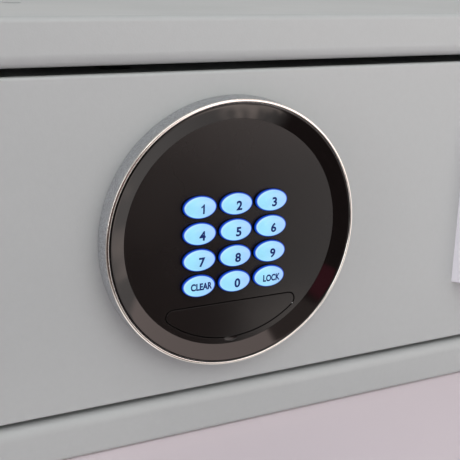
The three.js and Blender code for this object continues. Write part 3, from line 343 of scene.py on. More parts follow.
def extent(node):
    """A CAD node's box in local millimetres: x0, x1, y0, y1, z0, z1."""
    low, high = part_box(node)
    return low.x / MM, high.x / MM, (low.y - front_y) / MM, (high.y - front_y) / MM, low.z / MM, high.z / MM


def middle(node):
    """The middle of a CAD node's box in X and Z."""
    box = extent(node)
    return (box[0] + box[1]) / 2, (box[4] + box[5]) / 2


def put_in(name, data):
    """A new object in the scene."""
    holder = bpy.data.objects.new(name, data)
    scene.collection.objects.link(holder)
    return holder


def evaluated_mesh(piece):
    """The mesh that an object has after its modifiers; the object itself is dropped."""
    bpy.context.view_layer.update()
    graph = bpy.context.evaluated_depsgraph_get()
    mesh = bpy.data.meshes.new_from_object(piece.evaluated_get(graph))
    bpy.data.objects.remove(piece)
    return mesh


SMALLEST_EDGE, DOUBLES = 5e-7, 1e-6


def shown_piece(name, mesh, material, body, nodes, angle=35):
    """Puts a finished mesh in the scene in place of its CAD nodes, shaded smooth but for its edges."""
    bm = bmesh.new()
    bm.from_mesh(mesh)
    bmesh.ops.dissolve_degenerate(bm, dist=SMALLEST_EDGE, edges=bm.edges)
    bm.to_mesh(mesh)
    bm.free()
    for polygon in mesh.polygons:
        polygon.use_smooth = True
    mesh.set_sharp_from_angle(angle=math.radians(angle))
    if material:
        mesh.materials.clear()
        mesh.materials.append(material)
    holder = put_in("holder", mesh)
    even = holder.modifiers.new("even", "WEIGHTED_NORMAL")
    even.keep_sharp = True
    even.weight = 100
    mesh = evaluated_mesh(holder)
    mesh.name = name
    piece = put_in(name, mesh)
    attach(piece, body)
    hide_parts(*nodes)


def mesh_from(bm):
    """The plain mesh of a bmesh, with doubles merged and faces turned outwards."""
    bmesh.ops.remove_doubles(bm, verts=bm.verts, dist=DOUBLES)
    bmesh.ops.recalc_face_normals(bm, faces=bm.faces)
    mesh = bpy.data.meshes.new("piece")
    bm.to_mesh(mesh)
    bm.free()
    return mesh


def rounded_rect(x0, x1, z0, z1, radius, steps=8):
    """Outline of a rectangle with round corners, counter-clockwise from the upper right one."""
    x0, x1, z0, z1 = x0 + radius, x1 - radius, z0 + radius, z1 - radius
    points = []
    for quarter, (x, z) in enumerate(((x1, z1), (x0, z1), (x0, z0), (x1, z0))):
        for step in range(steps + 1):
            a = (quarter + step / steps) * math.pi / 2
            points.append((x + radius * math.cos(a), z + radius * math.sin(a)))
    return points


def arc(x, y, radius, start, end, steps):
    """Points of an arc, angles in degrees, both ends included."""
    angles = [math.radians(start + (end - start) * i / steps) for i in range(steps + 1)]
    return [(x + radius * math.cos(a), y + radius * math.sin(a)) for a in angles]


def lofted(levels, ring=False):
    """Mesh of a skin over loops of points, which ends in two flat faces or closes in a ring."""
    bm = bmesh.new()
    loops = [[bm.verts.new(point) for point in points] for points in levels]
    for here, there in zip(loops, loops[1:] + (loops[:1] if ring else [])):
        for i in range(len(here)):
            j = (i + 1) % len(here)
            bm.faces.new((here[i], here[j], there[j], there[i]))
    if not ring:
        bm.faces.new(loops[0])
        bm.faces.new(loops[-1])
    return mesh_from(bm)


x0, x1, y0, y1, z0, CASE_H = extent("front_frame")
CASE_W, CASE_D = x1 - x0, (cad_box[1].y - front_y) / MM
SHEET, CASE_CORNER, FRAME_FACE, FRAME_ROLL, FRAME_EDGE = 2.0, 4.0, 19.7, 5.5, 2.5
FRAME_RETURN, FRAME_SKIRT, OPENING_CORNER, ROLL_FLAT = 16.0, 12.0, 1.5, 0.84


def sleeve_outline(inset, corner):
    """The casing's outline brought in by an inset, as a function of how far it is then grown."""
    half = CASE_W / 2 - inset
    return lambda grow: rounded_rect(
        -half - grow, half + grow, inset - grow, CASE_H - inset + grow, corner + grow
    )


roll_inset = FRAME_FACE - FRAME_ROLL
outer_edge = arc(FRAME_EDGE, FRAME_EDGE, FRAME_EDGE, 180, 270, 6)
outer_roll = arc(roll_inset, FRAME_ROLL, FRAME_ROLL, -90, 0, 14)
inner_roll = arc(roll_inset, FRAME_ROLL, FRAME_ROLL - SHEET, 0, -90, 10)
inner_edge = arc(SHEET + FRAME_EDGE, SHEET + FRAME_EDGE, FRAME_EDGE, 270, 180, 4)
frame_section = [(0, FRAME_SKIRT, CASE_CORNER)]
frame_section += [(i, y, CASE_CORNER) for i, y in outer_edge]
frame_section += [(i, y * ROLL_FLAT, OPENING_CORNER) for i, y in outer_roll]
frame_section += [(i, FRAME_RETURN, OPENING_CORNER) for i in (FRAME_FACE, FRAME_FACE - SHEET)]
frame_section += [(i, SHEET + (y - SHEET) * ROLL_FLAT, OPENING_CORNER) for i, y in inner_roll]
frame_section += [(i, y, CASE_CORNER - SHEET) for i, y in inner_edge]
frame_section.append((SHEET, FRAME_SKIRT, CASE_CORNER - SHEET))
lip = lofted([[at(x, y, z) for x, z in sleeve_outline(i, c)(0)] for i, y, c in frame_section], ring=True)
shown_piece("casing_front", lip, casing_paint, "casing", ["front_frame"], 50)


def flat_curve(loops, scale):
    """A filled flat curve of straight-sided loops."""
    curve = bpy.data.curves.new("outline", "CURVE")
    curve.dimensions = "2D"
    curve.fill_mode = "BOTH"
    for loop in loops:
        spline = curve.splines.new("POLY")
        spline.points.add(len(loop) - 1)
        for point, (x, z) in zip(spline.points, loop):
            point.co = (x * scale, z * scale, 0, 1)
        spline.use_cyclic_u = True
    return curve


def plate(outline, holes, y0, y1, edge, steps=2):
    """Mesh of a plate from y0 back to y1 with rounded edges. Outline and holes are functions that
    give the points of a loop grown by a margin, in X and Z."""
    curve = flat_curve([outline(-edge)] + [hole(edge) for hole in holes], MM)
    curve.extrude = ((y1 - y0) / 2 - edge) * MM
    curve.bevel_depth = edge * MM
    curve.bevel_resolution = steps
    mesh = evaluated_mesh(put_in("plate", curve))
    mesh.transform(Matrix.Translation(at(0, (y0 + y1) / 2, 0)) @ Matrix.Rotation(math.pi / 2, 4, "X"))
    bm = bmesh.new()
    bm.from_mesh(mesh)
    return mesh_from(bm)


def turned(section, x, z, steps=96, squash=1.0):
    """Mesh of a section of (radius, depth) points turned about an axis along Y."""
    bm = bmesh.new()
    rings = []
    for radius, y in section:
        angles = [2 * math.pi * i / steps for i in range(steps if radius > 0 else 1)]
        ring = [at(x + radius * math.cos(a), y, z + squash * radius * math.sin(a)) for a in angles]
        rings.append([bm.verts.new(point) for point in ring])
    follow = rings[1:] + (rings[:1] if section[0][0] > 0 else [])
    for here, there in zip(rings, follow):
        for i in range(steps):
            j = (i + 1) % steps
            picks = ((here, i), (here, j), (there, j), (there, i))
            corners = list(dict.fromkeys(points[k % len(points)] for points, k in picks))
            if len(corners) > 2:
                bm.faces.new(corners)
    return mesh_from(bm)


def combined(operation, mesh, *others):
    """The first mesh with the others joined to it or cut from it, one by one."""
    for other in others:
        first, second = put_in("first", mesh), put_in("second", other)
        join = first.modifiers.new("join", "BOOLEAN")
        join.operation = operation
        join.object = second
        join.solver = "EXACT"
        mesh = evaluated_mesh(first)
        bpy.data.objects.remove(second)
    return mesh


def block(x0, x1, y0, y1, z0, z1):
    """Mesh of a plain block, to be bevelled or combined."""
    bm = bmesh.new()
    bmesh.ops.create_cube(bm, size=1)
    low, high = at(x0, y0, z0), at(x1, y1, z1)
    for vert in bm.verts:
        vert.co = Vector(low[k] if vert.co[k] < 0 else high[k] for k in range(3))
    return mesh_from(bm)


def bevelled(source, width, steps=3, angle=30):
    """A copy of a CAD node's mesh, or a mesh, with its sharp edges rounded, width in millimetres."""
    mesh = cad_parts[source].data.copy() if isinstance(source, str) else source
    bm = bmesh.new()
    bm.from_mesh(mesh)
    bmesh.ops.remove_doubles(bm, verts=bm.verts, dist=DOUBLES)
    bmesh.ops.dissolve_limit(bm, angle_limit=math.radians(0.5), verts=bm.verts, edges=bm.edges)
    bm.to_mesh(mesh)
    bm.free()
    holder = put_in("bevelled", mesh)
    bevel = holder.modifiers.new("bevel", "BEVEL")
    bevel.width = width * MM
    bevel.segments = steps
    bevel.limit_method = "ANGLE"
    bevel.angle_limit = math.radians(angle)
    bevel.miter_outer = "MITER_ARC"
    return evaluated_mesh(holder)


def eased_node(name, node, width, steps, material, body):
    """Shows a CAD node with its edges rounded."""
    shown_piece(name, bevelled(node, width, steps), material, body, [node])


SLEEVE_EDGE, HOLE_R, HOLE_X, HOLE_YS = 0.25, 4.5, 150.0, (90.0, 300.0)
sleeve_inside = sleeve_outline(SHEET, CASE_CORNER - SHEET)
sleeve = plate(sleeve_outline(0, CASE_CORNER), [sleeve_inside], FRAME_SKIRT, CASE_D, SLEEVE_EDGE)
drill = {"cap_ends": True, "segments": 48, "radius1": HOLE_R * MM, "radius2": HOLE_R * MM}
bm = bmesh.new()
for x in (-HOLE_X, HOLE_X):
    for y in HOLE_YS:
        place = Matrix.Translation(at(x, y, CASE_H - SHEET))
        bmesh.ops.create_cone(bm, depth=4 * SHEET * MM, matrix=place, **drill)
sleeve = combined("DIFFERENCE", sleeve, mesh_from(bm))
shown_piece("casing_sleeve", sleeve, casing_paint, "casing", ["casing_wrap"])


def end_tree(tree, result, line, piece, finish):
    """Puts a piece on each point of a line, makes the copies real and gives them their material."""
    copies = add_node(tree, "GeometryNodeInstanceOnPoints", {"Points": line, "Instance": piece})
    real = add_node(tree, "GeometryNodeRealizeInstances", {0: copies.outputs[0]})
    inputs = {"Geometry": real.outputs[0], "Material": finish}
    finished = add_node(tree, "GeometryNodeSetMaterial", inputs)
    tree.links.new(finished.outputs[0], result.inputs[0])


def run_tree(holder, tree, **inputs):
    """Adds a tree to an object as a modifier, with its inputs by name."""
    modifier = holder.modifiers.new("tree", "NODES")
    modifier.node_group = tree
    sockets = {s.name: s.identifier for s in tree.interface.items_tree if s.in_out == "INPUT"}
    for name, value in inputs.items():
        modifier[sockets[name]] = value


row_inputs = {"Piece": "Geometry", "Count": "Int", "Start": "Vector", "Step": "Vector"}
row_inputs["Finish"] = "Material"
row_of, given, result = new_group("row_of", row_inputs, {"Row": "Geometry"}, "Geometry")
line_inputs = {"Count": given["Count"], "Start Location": given["Start"], "Offset": given["Step"]}
line = add_node(row_of, "GeometryNodeMeshLine", line_inputs, mode="OFFSET")
end_tree(row_of, result, line.outputs[0], given["Piece"], given["Finish"])


def repeated(mesh, material, *rows):
    """The mesh repeated along each row in turn: a row is (count, step) or (count, step, start), in
    millimetres."""
    holder = put_in("repeated", mesh)
    for count, step, *start in rows:
        start = [c * MM for c in (start[0] if start else (0, 0, 0))]
        run_tree(holder, row_of, Count=count, Start=start, Step=[c * MM for c in step], Finish=material)
    return evaluated_mesh(holder)


def together(*meshes):
    """Several meshes as one."""
    bm = bmesh.new()
    for mesh in meshes:
        bm.from_mesh(mesh)
    made = bpy.data.meshes.new("together")
    bm.to_mesh(made)
    bm.free()
    return made


BACK_INSET, BACK_EDGE, WELD_R, WELD_H, WELD_ROOT = 2.3, 0.2, 3.0, 0.3, 0.5
back = plate(sleeve_outline(BACK_INSET, SHEET), [], CASE_D - SHEET, CASE_D - WELD_H, BACK_EDGE)
weld_section = [(0, CASE_D - WELD_ROOT), (WELD_R, CASE_D - WELD_ROOT), (WELD_R, CASE_D - WELD_H)]
weld_section += [(WELD_R * 0.8, CASE_D - 0.12), (WELD_R * 0.5, CASE_D), (0, CASE_D - 0.06)]
WELD_INSET, WELDS_ACROSS, WELDS_UP = 9.0, 9, 4
weld_span, weld_climb = CASE_W - 2 * WELD_INSET, CASE_H - 2 * WELD_INSET
across, rise = weld_span / (WELDS_ACROSS - 1), weld_climb / (WELDS_UP - 1)
weld = turned(weld_section, -CASE_W / 2 + WELD_INSET, WELD_INSET, 20)
long_rows = repeated(weld.copy(), casing_paint, (WELDS_ACROSS, (across, 0, 0)), (2, (0, 0, weld_climb)))
upright = (WELDS_UP - 2, (0, 0, rise), (0, 0, rise))
short_rows = repeated(weld, casing_paint, upright, (2, (weld_span, 0, 0)))
back = together(back, long_rows, short_rows)
shown_piece("casing_back", back, casing_paint, "casing", ["rear_panel"])

# Strike: a steel angle welded under the casing's top, behind the front lip, that the bolts rise into.
# Like the other bare steel pieces it shows the fine lines of its grinding.
metal_settings = {"Vector": "Vector", "Color": "Color", "Stretch": "Vector", "Variation": "Float"}
metal_settings["Polish"] = "Float"
fine, given, result = new_group("ground_metal", metal_settings, skin_results)
stretched = vector_maths(fine, "MULTIPLY", given["Vector"], given["Stretch"])
lines = noise(fine, stretched, 1.0, 5.0)
blotch = noise(fine, given["Vector"], 60.0, 3.0)
centred = maths(fine, "SUBTRACT", maths(fine, "ADD", lines, blotch), 1.0)
shaded = varied(fine, centred, given["Variation"], given["Color"])
rough = maths(fine, "MULTIPLY_ADD", centred, 0.25, given["Polish"])
feed(result, Color=shaded, Roughness=rough, Height=lines)


def metal(name, colour, stretch, variation, polish, depth):
    """A bare or plated metal, its lines drawn out by a stretch along X, Y and Z."""
    return covered(name, fine, (colour, stretch, variation, polish), depth, 1.0)


steel = metal("ground_steel", tone(178, 179, 181), (60, 1500, 1500), 0.25, 0.32, 0.01)
zinc = metal("zinc_plate", tone(196, 199, 202), (220, 220, 220), 0.35, 0.36, 0.01)
eased_node("strike", "strike_plate", 0.2, 1, steel, "casing")

# Runners: three rolled zinc-plated channels on each side, hung on painted brackets. The inner one is
# riveted to the tray, the middle one travels half as far as the drawer.
def laid(mesh, angle, axis, x, y, z):
    """Turns a mesh that is made about the zero point, by an angle in degrees, and puts it at a place."""
    mesh.transform(Matrix.Translation(-at(0, 0, 0)))
    mesh.transform(Matrix.Rotation(math.radians(angle), 4, axis))
    mesh.transform(Matrix.Translation(at(x, y, z)))
    return mesh


CHANNEL_EDGE, RIVETS, RIVET_Y, RIVET_Z, RIVET_PITCH, RIVET_DEPTH = 0.25, 4, 38.0, 70.0, 90.0, 1.4
rivet_section = [(0, -1.0), (3.2, -1.0), (3.2, -0.2), (2.6, 0.5), (1.4, 0.9), (0, 1.0)]
for side, label in ((-1, "left"), (1, "right")):
    bracket, middle_body = "runner_bracket_" + label, label + "_middle_runner"
    eased_node("bracket_" + label, bracket, 0.3, 3, casing_paint, "casing")
    eased_node("outer_runner_" + label, "runner_outer_" + label, CHANNEL_EDGE, 3, zinc, "casing")
    middle_node = "runner_middle_" + label
    eased_node("middle_runner_" + label, middle_node, CHANNEL_EDGE, 3, zinc, middle_body)
    web_x = extent("runner_inner_" + label)[0 if side > 0 else 1]
    rivet = turned(rivet_section, 0, 0, 16)
    rivet = laid(rivet, 90 * side, "Z", web_x + side * RIVET_DEPTH, RIVET_Y, RIVET_Z)
    rivets = repeated(rivet, zinc, (RIVETS, (0, RIVET_PITCH, 0)))
    inner = together(bevelled("runner_inner_" + label, CHANNEL_EDGE), rivets)
    shown_piece("inner_runner_" + label, inner, zinc, "drawer", ["runner_inner_" + label])

# Drawer front: a 5 mm steel plate with eased edges, cut out for the keypad's well and the pull's cup.
# It is powder coated like the casing and carries the keypad, the pull and the tray.
front_paint = coated("front_paint", tone(181, 184, 183), 0.7, 0.05, 0.03)
eased_node("front_plate", "drawer_front", 1.15, 4, front_paint, "drawer")

# Tray: folded and welded from 1.2 mm sheet, painted like the front, with rims turned in along its
# top. A mat of needled felt lies loose on its floor.
eased_node("tray", "drawer_tray", 0.3, 2, front_paint, "drawer")

felt, tree, shader, places = new_material(
    "felt", Roughness=0.96, Sheen_Weight=0.3, Sheen_Roughness=0.6, Specular_IOR_Level=0.15
)
fibres = maths(tree, "MULTIPLY", noise(tree, places, 900.0, 6.0, 0.7), noise(tree, places, 260.0, 4.0))
spread = ranged(tree, fibres, 0.12, 0.42)
feed(shader, Base_Color=blended(tree, spread, tone(24, 25, 28), tone(66, 67, 71)))
raise_surface(shader, fibres, 0.4)
eased_node("felt_mat", "liner_mat", 1.1, 3, felt, "drawer")

# Keypad housing: a die-cast pan sprayed with silver flake lacquer, pushed through the drawer front
# from outside, with a bright plated ring pressed on its rim.
KEYPAD_X, KEYPAD_Z = keypad_middle.x / MM, keypad_middle.z / MM
MODULE_R, MODULE_T, HOUSING_FLARE, FACE_R = 60.0, 8.95, 0.6, 51.2
TRIM_W, TRIM_H, HOUSING_WALL, HOUSING_FLOOR = 1.4, 1.35, 3.1, 1.6
WELL_R, WELL_WALL, WELL_DEPTH, MODULE_STEPS = 51.3, 1.5, 8.0, 192
rim_y = -MODULE_T + TRIM_H

flake_settings = {"Vector": "Vector", "Size": "Float", "Color": "Color", "Sparkle": "Float"}
flake, given, result = new_group("flake", flake_settings, {"Color": "Color", "Normal": "Vector"})
cells_scale = maths(flake, "DIVIDE", 1 / MM, given["Size"])
cells = add_node(flake, "ShaderNodeTexVoronoi", {"Vector": given["Vector"], "Scale": cells_scale})
chance = add_node(flake, "ShaderNodeSeparateColor", {0: cells.outputs["Color"]}).outputs[0]
shine = maths(flake, "SUBTRACT", chance, 0.5)
shaded = varied(flake, shine, given["Sparkle"], given["Color"])
tilt = vector_maths(flake, "SUBTRACT", cells.outputs["Color"], (0.5, 0.5, 0.5))
smooth = add_node(flake, "ShaderNodeNewGeometry").outputs["Normal"]
leaning = vector_maths(flake, "ADD", smooth, vector_maths(flake, "SCALE", tilt, 0.35))
feed(result, Color=shaded, Normal=vector_maths(flake, "NORMALIZE", leaning))

silver, tree, shader, places = new_material(
    "silver_lacquer", 0.5, Roughness=0.45, Coat_Weight=0.3, Coat_Roughness=0.15
)
lacquer = {"Vector": places, "Size": 0.3, "Color": tone(164, 166, 169), "Sparkle": 0.8}
metallic_coat = add_node(tree, "ShaderNodeGroup", lacquer, node_tree=flake).outputs
feed(shader, Base_Color=metallic_coat["Color"], Normal=metallic_coat["Normal"])

back_r, rim_r, pan_r = MODULE_R + HOUSING_FLARE, MODULE_R + 0.1, MODULE_R - HOUSING_WALL
well_out, well_floor = WELL_R + WELL_WALL, WELL_DEPTH - WELL_WALL
housing_section = [(0, WELL_DEPTH), (well_out - 0.6, WELL_DEPTH), (well_out, WELL_DEPTH - 0.6)]
housing_section += [(well_out, 0), (back_r - 0.3, 0), (back_r, -0.3), (rim_r + 0.03, rim_y + 0.3)]
housing_section += [(rim_r - 0.2, rim_y), (pan_r, rim_y), (pan_r, -HOUSING_FLOOR), (WELL_R, -HOUSING_FLOOR)]
housing_section += [(WELL_R, well_floor), (0, well_floor)]
housing = turned(housing_section, KEYPAD_X, KEYPAD_Z, MODULE_STEPS)
lock_z = middle("override_lock_body")[1]
ribbon_box = extent("ribbon_cable")
RIBBON_EXIT, SLOT_SIDE, SLOT_HALF_H, LOCK_BORE_R, CUT_FROM, CUT_TO = 19.0, 2.0, 2.7, 6.9, 4, 12
lock_hole_section = [(0, CUT_FROM), (LOCK_BORE_R, CUT_FROM), (LOCK_BORE_R, CUT_TO), (0, CUT_TO)]
lock_hole = turned(lock_hole_section, KEYPAD_X, lock_z, 48)
exit_z = KEYPAD_Z + RIBBON_EXIT
slot_x0, slot_x1 = ribbon_box[0] - SLOT_SIDE, ribbon_box[1] + SLOT_SIDE
ribbon_slot = block(slot_x0, slot_x1, CUT_FROM, CUT_TO, exit_z - SLOT_HALF_H, exit_z + SLOT_HALF_H)
housing = combined("DIFFERENCE", housing, lock_hole, ribbon_slot)
shown_piece("keypad_pan", housing, silver, "drawer", ["keypad_housing"])

chrome = metal("bright_plate", tone(232, 226, 220), (300, 300, 300), 0.03, 0.2, 0.0002)
CREST_IN, CROWN_R, CROWN_LEAN, OUTER_ROUND, INNER_ROUND = 0.87, 1.29, 35, 0.3, 0.35
crest_r, crown_y, lean = MODULE_R - CREST_IN, CROWN_R - MODULE_T, math.radians(CROWN_LEAN)
round_r = crest_r + (CROWN_R - OUTER_ROUND) * math.sin(lean)
round_y = crown_y - (CROWN_R - OUTER_ROUND) * math.cos(lean)
ring_section = [(round_r + OUTER_ROUND, rim_y)]
ring_section += arc(round_r, round_y, OUTER_ROUND, 0, CROWN_LEAN - 90, 5)
ring_section += arc(crest_r, crown_y, CROWN_R, CROWN_LEAN - 90, -90, 5)[1:]
ring_section += arc(crest_r, INNER_ROUND - MODULE_T, INNER_ROUND, -90, -150, 4)[1:]
ring_section += [(MODULE_R - TRIM_W, -MODULE_T + 0.5), (MODULE_R - TRIM_W, rim_y)]
trim = turned(ring_section, KEYPAD_X, KEYPAD_Z, MODULE_STEPS)
shown_piece("bright_ring", trim, chrome, "drawer", ["trim_ring"], 60)

# Gloss ring: an injection-moulded ring of polished black acrylic that slopes in to the face plate,
# which lies on its rear ledge.
gloss, tree, shader, places = new_material("gloss_black", IOR=1.5, Specular_Tint=(1.0, 0.93, 0.91, 1.0))
smear = noise(tree, places, 26.0, 5.0)
dark = blended(tree, smear, tone(11, 9, 9), tone(17, 14, 14))
feed(shader, Roughness=ranged(tree, smear, 0.4, 0.75, 0.035, 0.11), Base_Color=dark)
raise_surface(shader, noise(tree, places, 60.0, 1.0), 0.02)

SEAT, FACE_T, BEZEL_T, BEZEL_DROP, LEDGE_W, FACE_RECESS, SLOPE_STEPS = 0.3, 1.6, 1.6, 0.25, 1.3, 3.22, 10
face_y = -MODULE_T + FACE_RECESS
face_back = face_y + FACE_T
bezel_top, bezel_out, bezel_in = -MODULE_T + BEZEL_DROP, MODULE_R - TRIM_W - SEAT, FACE_R + 0.05
bezel_rim, ledge_y, ledge_r = rim_y - SEAT, face_back + SEAT, FACE_R - LEDGE_W
slope = [(bezel_out, bezel_rim), (bezel_out, bezel_top + 0.25), (bezel_out - 0.08, bezel_top + 0.06)]
slope += [(bezel_out - 0.3, bezel_top), (bezel_out - 0.6, bezel_top + 0.08)]
for i in range(1, SLOPE_STEPS + 1):
    share = i / SLOPE_STEPS
    radius = bezel_out - 0.6 + (bezel_in - bezel_out + 0.6) * share
    slope.append((radius, bezel_top + 0.08 + (face_y - bezel_top - 0.1) * share))
slope += [(bezel_in, ledge_y), (ledge_r, ledge_y), (ledge_r, ledge_y + BEZEL_T / 2)]
slope += [(bezel_in + BEZEL_T, ledge_y + BEZEL_T / 2), (pan_r - SEAT, bezel_rim + BEZEL_T)]
slope.append((pan_r - SEAT, bezel_rim))
bezel = turned(slope, KEYPAD_X, KEYPAD_Z, MODULE_STEPS)
shown_piece("gloss_bezel", bezel, gloss, "drawer", ["gloss_ring"], 40)

# Face plate: moulded satin black ABS with twelve oval key holes and a half-moon recess, whose walls
# and floor carry the emergency contacts and let the key lock through.
satin, tree, shader, places = new_material("satin_black", Specular_IOR_Level=0.38)
wiped = noise(tree, places, 18.0, 4.0)
face_colour = blended(tree, wiped, tone(21, 17, 16), tone(26, 21, 20))
feed(shader, Base_Color=face_colour, Roughness=ranged(tree, wiped, 0.3, 0.7, 0.24, 0.3))
raise_surface(shader, noise(tree, places, 2600.0, 2.0), 0.006)

KEY_W, KEY_H, KEY_PITCH_X, KEY_PITCH_Z = 16.2, 10.2, 17.35, 11.8
key_middle_z = (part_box("key_1")[1].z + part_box("key_clear")[0].z) / 2 / MM
COVER_R, COVER_H, COVER_CORNER, COVER_GAP, RECESS_WALL = 48.2, 16.9, 3.2, 0.4, 1.2
cover_edge_z = KEYPAD_Z - COVER_R + COVER_H
recess_back = well_floor - SEAT
recess_floor = recess_back - RECESS_WALL
KEY_NAMES = (("1", "2", "3"), ("4", "5", "6"), ("7", "8", "9"), ("clear", "0", "lock"))


def oval(x, z, half_w, half_h, steps=72):
    """An oval's outline, as a function of how far it is grown."""
    angles = [2 * math.pi * i / steps for i in range(steps)]
    return lambda grow: [
        (x + (half_w + grow) * math.cos(a), z + (half_h + grow) * math.sin(a)) for a in angles
    ]


def half_moon(margin):
    """The cover's outline grown by a margin: round tips, a straight top and an arc of the module."""

    def loop(grow):
        """The outline's points, grown by the margin and by grow."""
        more = margin + grow
        tip_z = cover_edge_z - COVER_CORNER
        tip_x = math.sqrt((COVER_R - COVER_CORNER) ** 2 - (tip_z - KEYPAD_Z) ** 2)
        low = math.degrees(math.atan2(tip_z - KEYPAD_Z, tip_x))
        points = arc(KEYPAD_X + tip_x, tip_z, COVER_CORNER + more, low, 90, 12)
        points += arc(KEYPAD_X - tip_x, tip_z, COVER_CORNER + more, 90, 180 - low, 12)
        return points + arc(KEYPAD_X, KEYPAD_Z, COVER_R + more, 180 - low, 360 + low, 72)[1:-1]

    return loop


def key_place(row, column):
    """A key's middle in X and Z."""
    return KEYPAD_X + (column - 1) * KEY_PITCH_X, key_middle_z - (row - 1.5) * KEY_PITCH_Z


FACE_EDGE, RECESS_EDGE, WALL_OVERLAP, FLOOR_SHY = 0.08, 0.05, 0.8, 0.01
hole_half = (KEY_W / 2 - 0.1, KEY_H / 2 - 0.06)
key_places = [key_place(row, column) for row in range(4) for column in range(3)]
holes = [oval(*place, *hole_half) for place in key_places] + [half_moon(COVER_GAP)]
face = plate(oval(KEYPAD_X, KEYPAD_Z, FACE_R, FACE_R, MODULE_STEPS), holes, face_y, face_back, FACE_EDGE)
contact_z = middle("jump_contact_left")[1]
CONTACT_X, STEM_HOLE_R, LOCK_HOLE_R = 19.0, 1.8, 6.6
floor_holes = [oval(KEYPAD_X, lock_z, LOCK_HOLE_R, LOCK_HOLE_R, 48)]
floor_holes += [oval(KEYPAD_X + s * CONTACT_X, contact_z, STEM_HOLE_R, STEM_HOLE_R, 24) for s in (-1, 1)]
wall_outline, floor_outline = half_moon(COVER_GAP + RECESS_WALL), half_moon(COVER_GAP + RECESS_WALL / 2)
walls = plate(wall_outline, [half_moon(COVER_GAP)], face_back - WALL_OVERLAP, recess_back, RECESS_EDGE)
floor_plate = plate(floor_outline, floor_holes, recess_floor, recess_back - FLOOR_SHY, RECESS_EDGE)
face = combined("UNION", face, walls, floor_plate)
NOTCH_W, NOTCH_H, NOTCH_DEPTH, SCOOP_STEPS = 7.2, 2.2, 1.1, 8
scoop_section = [(0, face_y - 2.0), (NOTCH_W / 2, face_y - 2.0), (NOTCH_W / 2, face_y)]
for i in range(1, SCOOP_STEPS):
    a = i * math.pi / 2 / SCOOP_STEPS
    scoop_section.append((NOTCH_W / 2 * math.cos(a), face_y + NOTCH_DEPTH * math.sin(a)))
scoop_section.append((0, face_y + NOTCH_DEPTH))
scoop = turned(scoop_section, KEYPAD_X, KEYPAD_Z - COVER_R - COVER_GAP, 32, NOTCH_H * 2 / NOTCH_W)
face = combined("DIFFERENCE", face, scoop)
shown_piece("face_plate_moulding", face, satin, "drawer", ["face_plate"])

# Half-moon cover: a satin flap over the emergency contacts and the key lock, hinged on a moulded
# barrel behind its straight edge and opened with a fingernail at the notch below.
HINGE_DROP, BARREL_R, BARREL_HALF, FLAP_SLACK, FLAP_EDGE = 2.3, 0.8, 26.0, 0.16, 0.12
flap = plate(half_moon(-FLAP_SLACK), [], face_y, face_back, FLAP_EDGE)
barrel_section = [(0, -BARREL_HALF), (BARREL_R, -BARREL_HALF), (BARREL_R, BARREL_HALF), (0, BARREL_HALF)]
barrel = turned(barrel_section, 0, 0, 24)
barrel = laid(barrel, 90, "Z", KEYPAD_X, (face_y + face_back) / 2, cover_edge_z - HINGE_DROP)
flap = combined("UNION", flap, barrel)
shown_piece("half_moon_flap", flap, satin, "half_moon_cover", ["service_cover"])

# Catch: a small steel ball with a spring behind it, pressed into the wall of the recess in the gap at
# the cover's right tip. It holds the cover shut.
BALL_R, BALL_STEPS, BALL_AT = 0.32, 8, math.radians(-49.5)
gap_r, ball_y = COVER_R + (COVER_GAP - FLAP_SLACK) / 2, face_y + 0.25
ball_section = [(0, ball_y - BALL_R)]
for i in range(1, BALL_STEPS):
    a = i * math.pi / BALL_STEPS
    ball_section.append((BALL_R * math.sin(a), ball_y - BALL_R * math.cos(a)))
ball_section.append((0, ball_y + BALL_R))
ball = turned(ball_section, KEYPAD_X + gap_r * math.cos(BALL_AT), KEYPAD_Z + gap_r * math.sin(BALL_AT), 20)
shown_piece("catch_ball", ball, steel, "drawer", [])

# Keys: moulded clear-blue caps with a low dome and a flange behind the face, lit from behind, each
# with its navy legend printed on top. A key moves in and out on its own.
KEY_RISE, KEY_DOME, KEY_FLANGE, KEY_RINGS, KEY_STEPS, CAP_SLACK = 1.4, 2.3, 0.45, 12, 64, 0.3
key_r, flange_r, flange_y = KEY_W / 2 - CAP_SLACK, KEY_W / 2 + KEY_FLANGE, face_back + SEAT
CAP_SHAPE = (KEY_H / 2 - CAP_SLACK / 2) / key_r


def dome(share):
    """How far the cap stands out of the face at a share of the key's radius, in millimetres."""
    return KEY_RISE + KEY_DOME * math.sqrt(max(0.0, 1 - share**3))


key_section = [(0, 0), (flange_r, 0), (flange_r, flange_y), (key_r, flange_y), (key_r, face_y)]
key_section += [(key_r, face_y - KEY_RISE * i / 3) for i in (1, 2, 3)]
for i in range(1, KEY_RINGS):
    share = math.cos(i / KEY_RINGS * math.pi / 2)
    key_section.append((key_r * share, face_y - dome(share)))
key_section.append((0, face_y - dome(0)))

lit_key, tree, shader, places = new_material(
    "lit_key", Roughness=0.34, Coat_Weight=0.12, Coat_Roughness=0.1
)
across_key = add_node(tree, "ShaderNodeAttribute", attribute_name="across_key").outputs["Vector"]
parts = add_node(tree, "ShaderNodeSeparateXYZ", {0: across_key}).outputs
in_plan = add_node(tree, "ShaderNodeCombineXYZ", {"X": parts["X"], "Y": parts["Y"]}).outputs[0]
size = vector_maths(tree, "LENGTH", in_plan)
glow = blended(tree, ranged(tree, parts["X"], -0.5, 0.9), tone(160, 228, 255), tone(158, 200, 255))
# The deep blue rim is painted narrower towards the upper-left lamp and wider away from it: painted shade.
lamp_side_for_shade = vector_maths(tree, "DOT_PRODUCT", in_plan, (-0.7, 0.7, 0.0))
shaded_rim_start = ranged(tree, lamp_side_for_shade, -0.7, 0.7, 0.872, 0.957)
rim = ranged(tree, maths(tree, "SUBTRACT", size, shaded_rim_start), -0.02, 0.025)
# A pale line painted along the dome's upper-left edge: a painted highlight of the lamp there.
slanting = maths(tree, "SUBTRACT", parts["Y"], parts["X"])
highlight_side = ranged(tree, slanting, 0.3, 1.1, 0.15, 0.5)
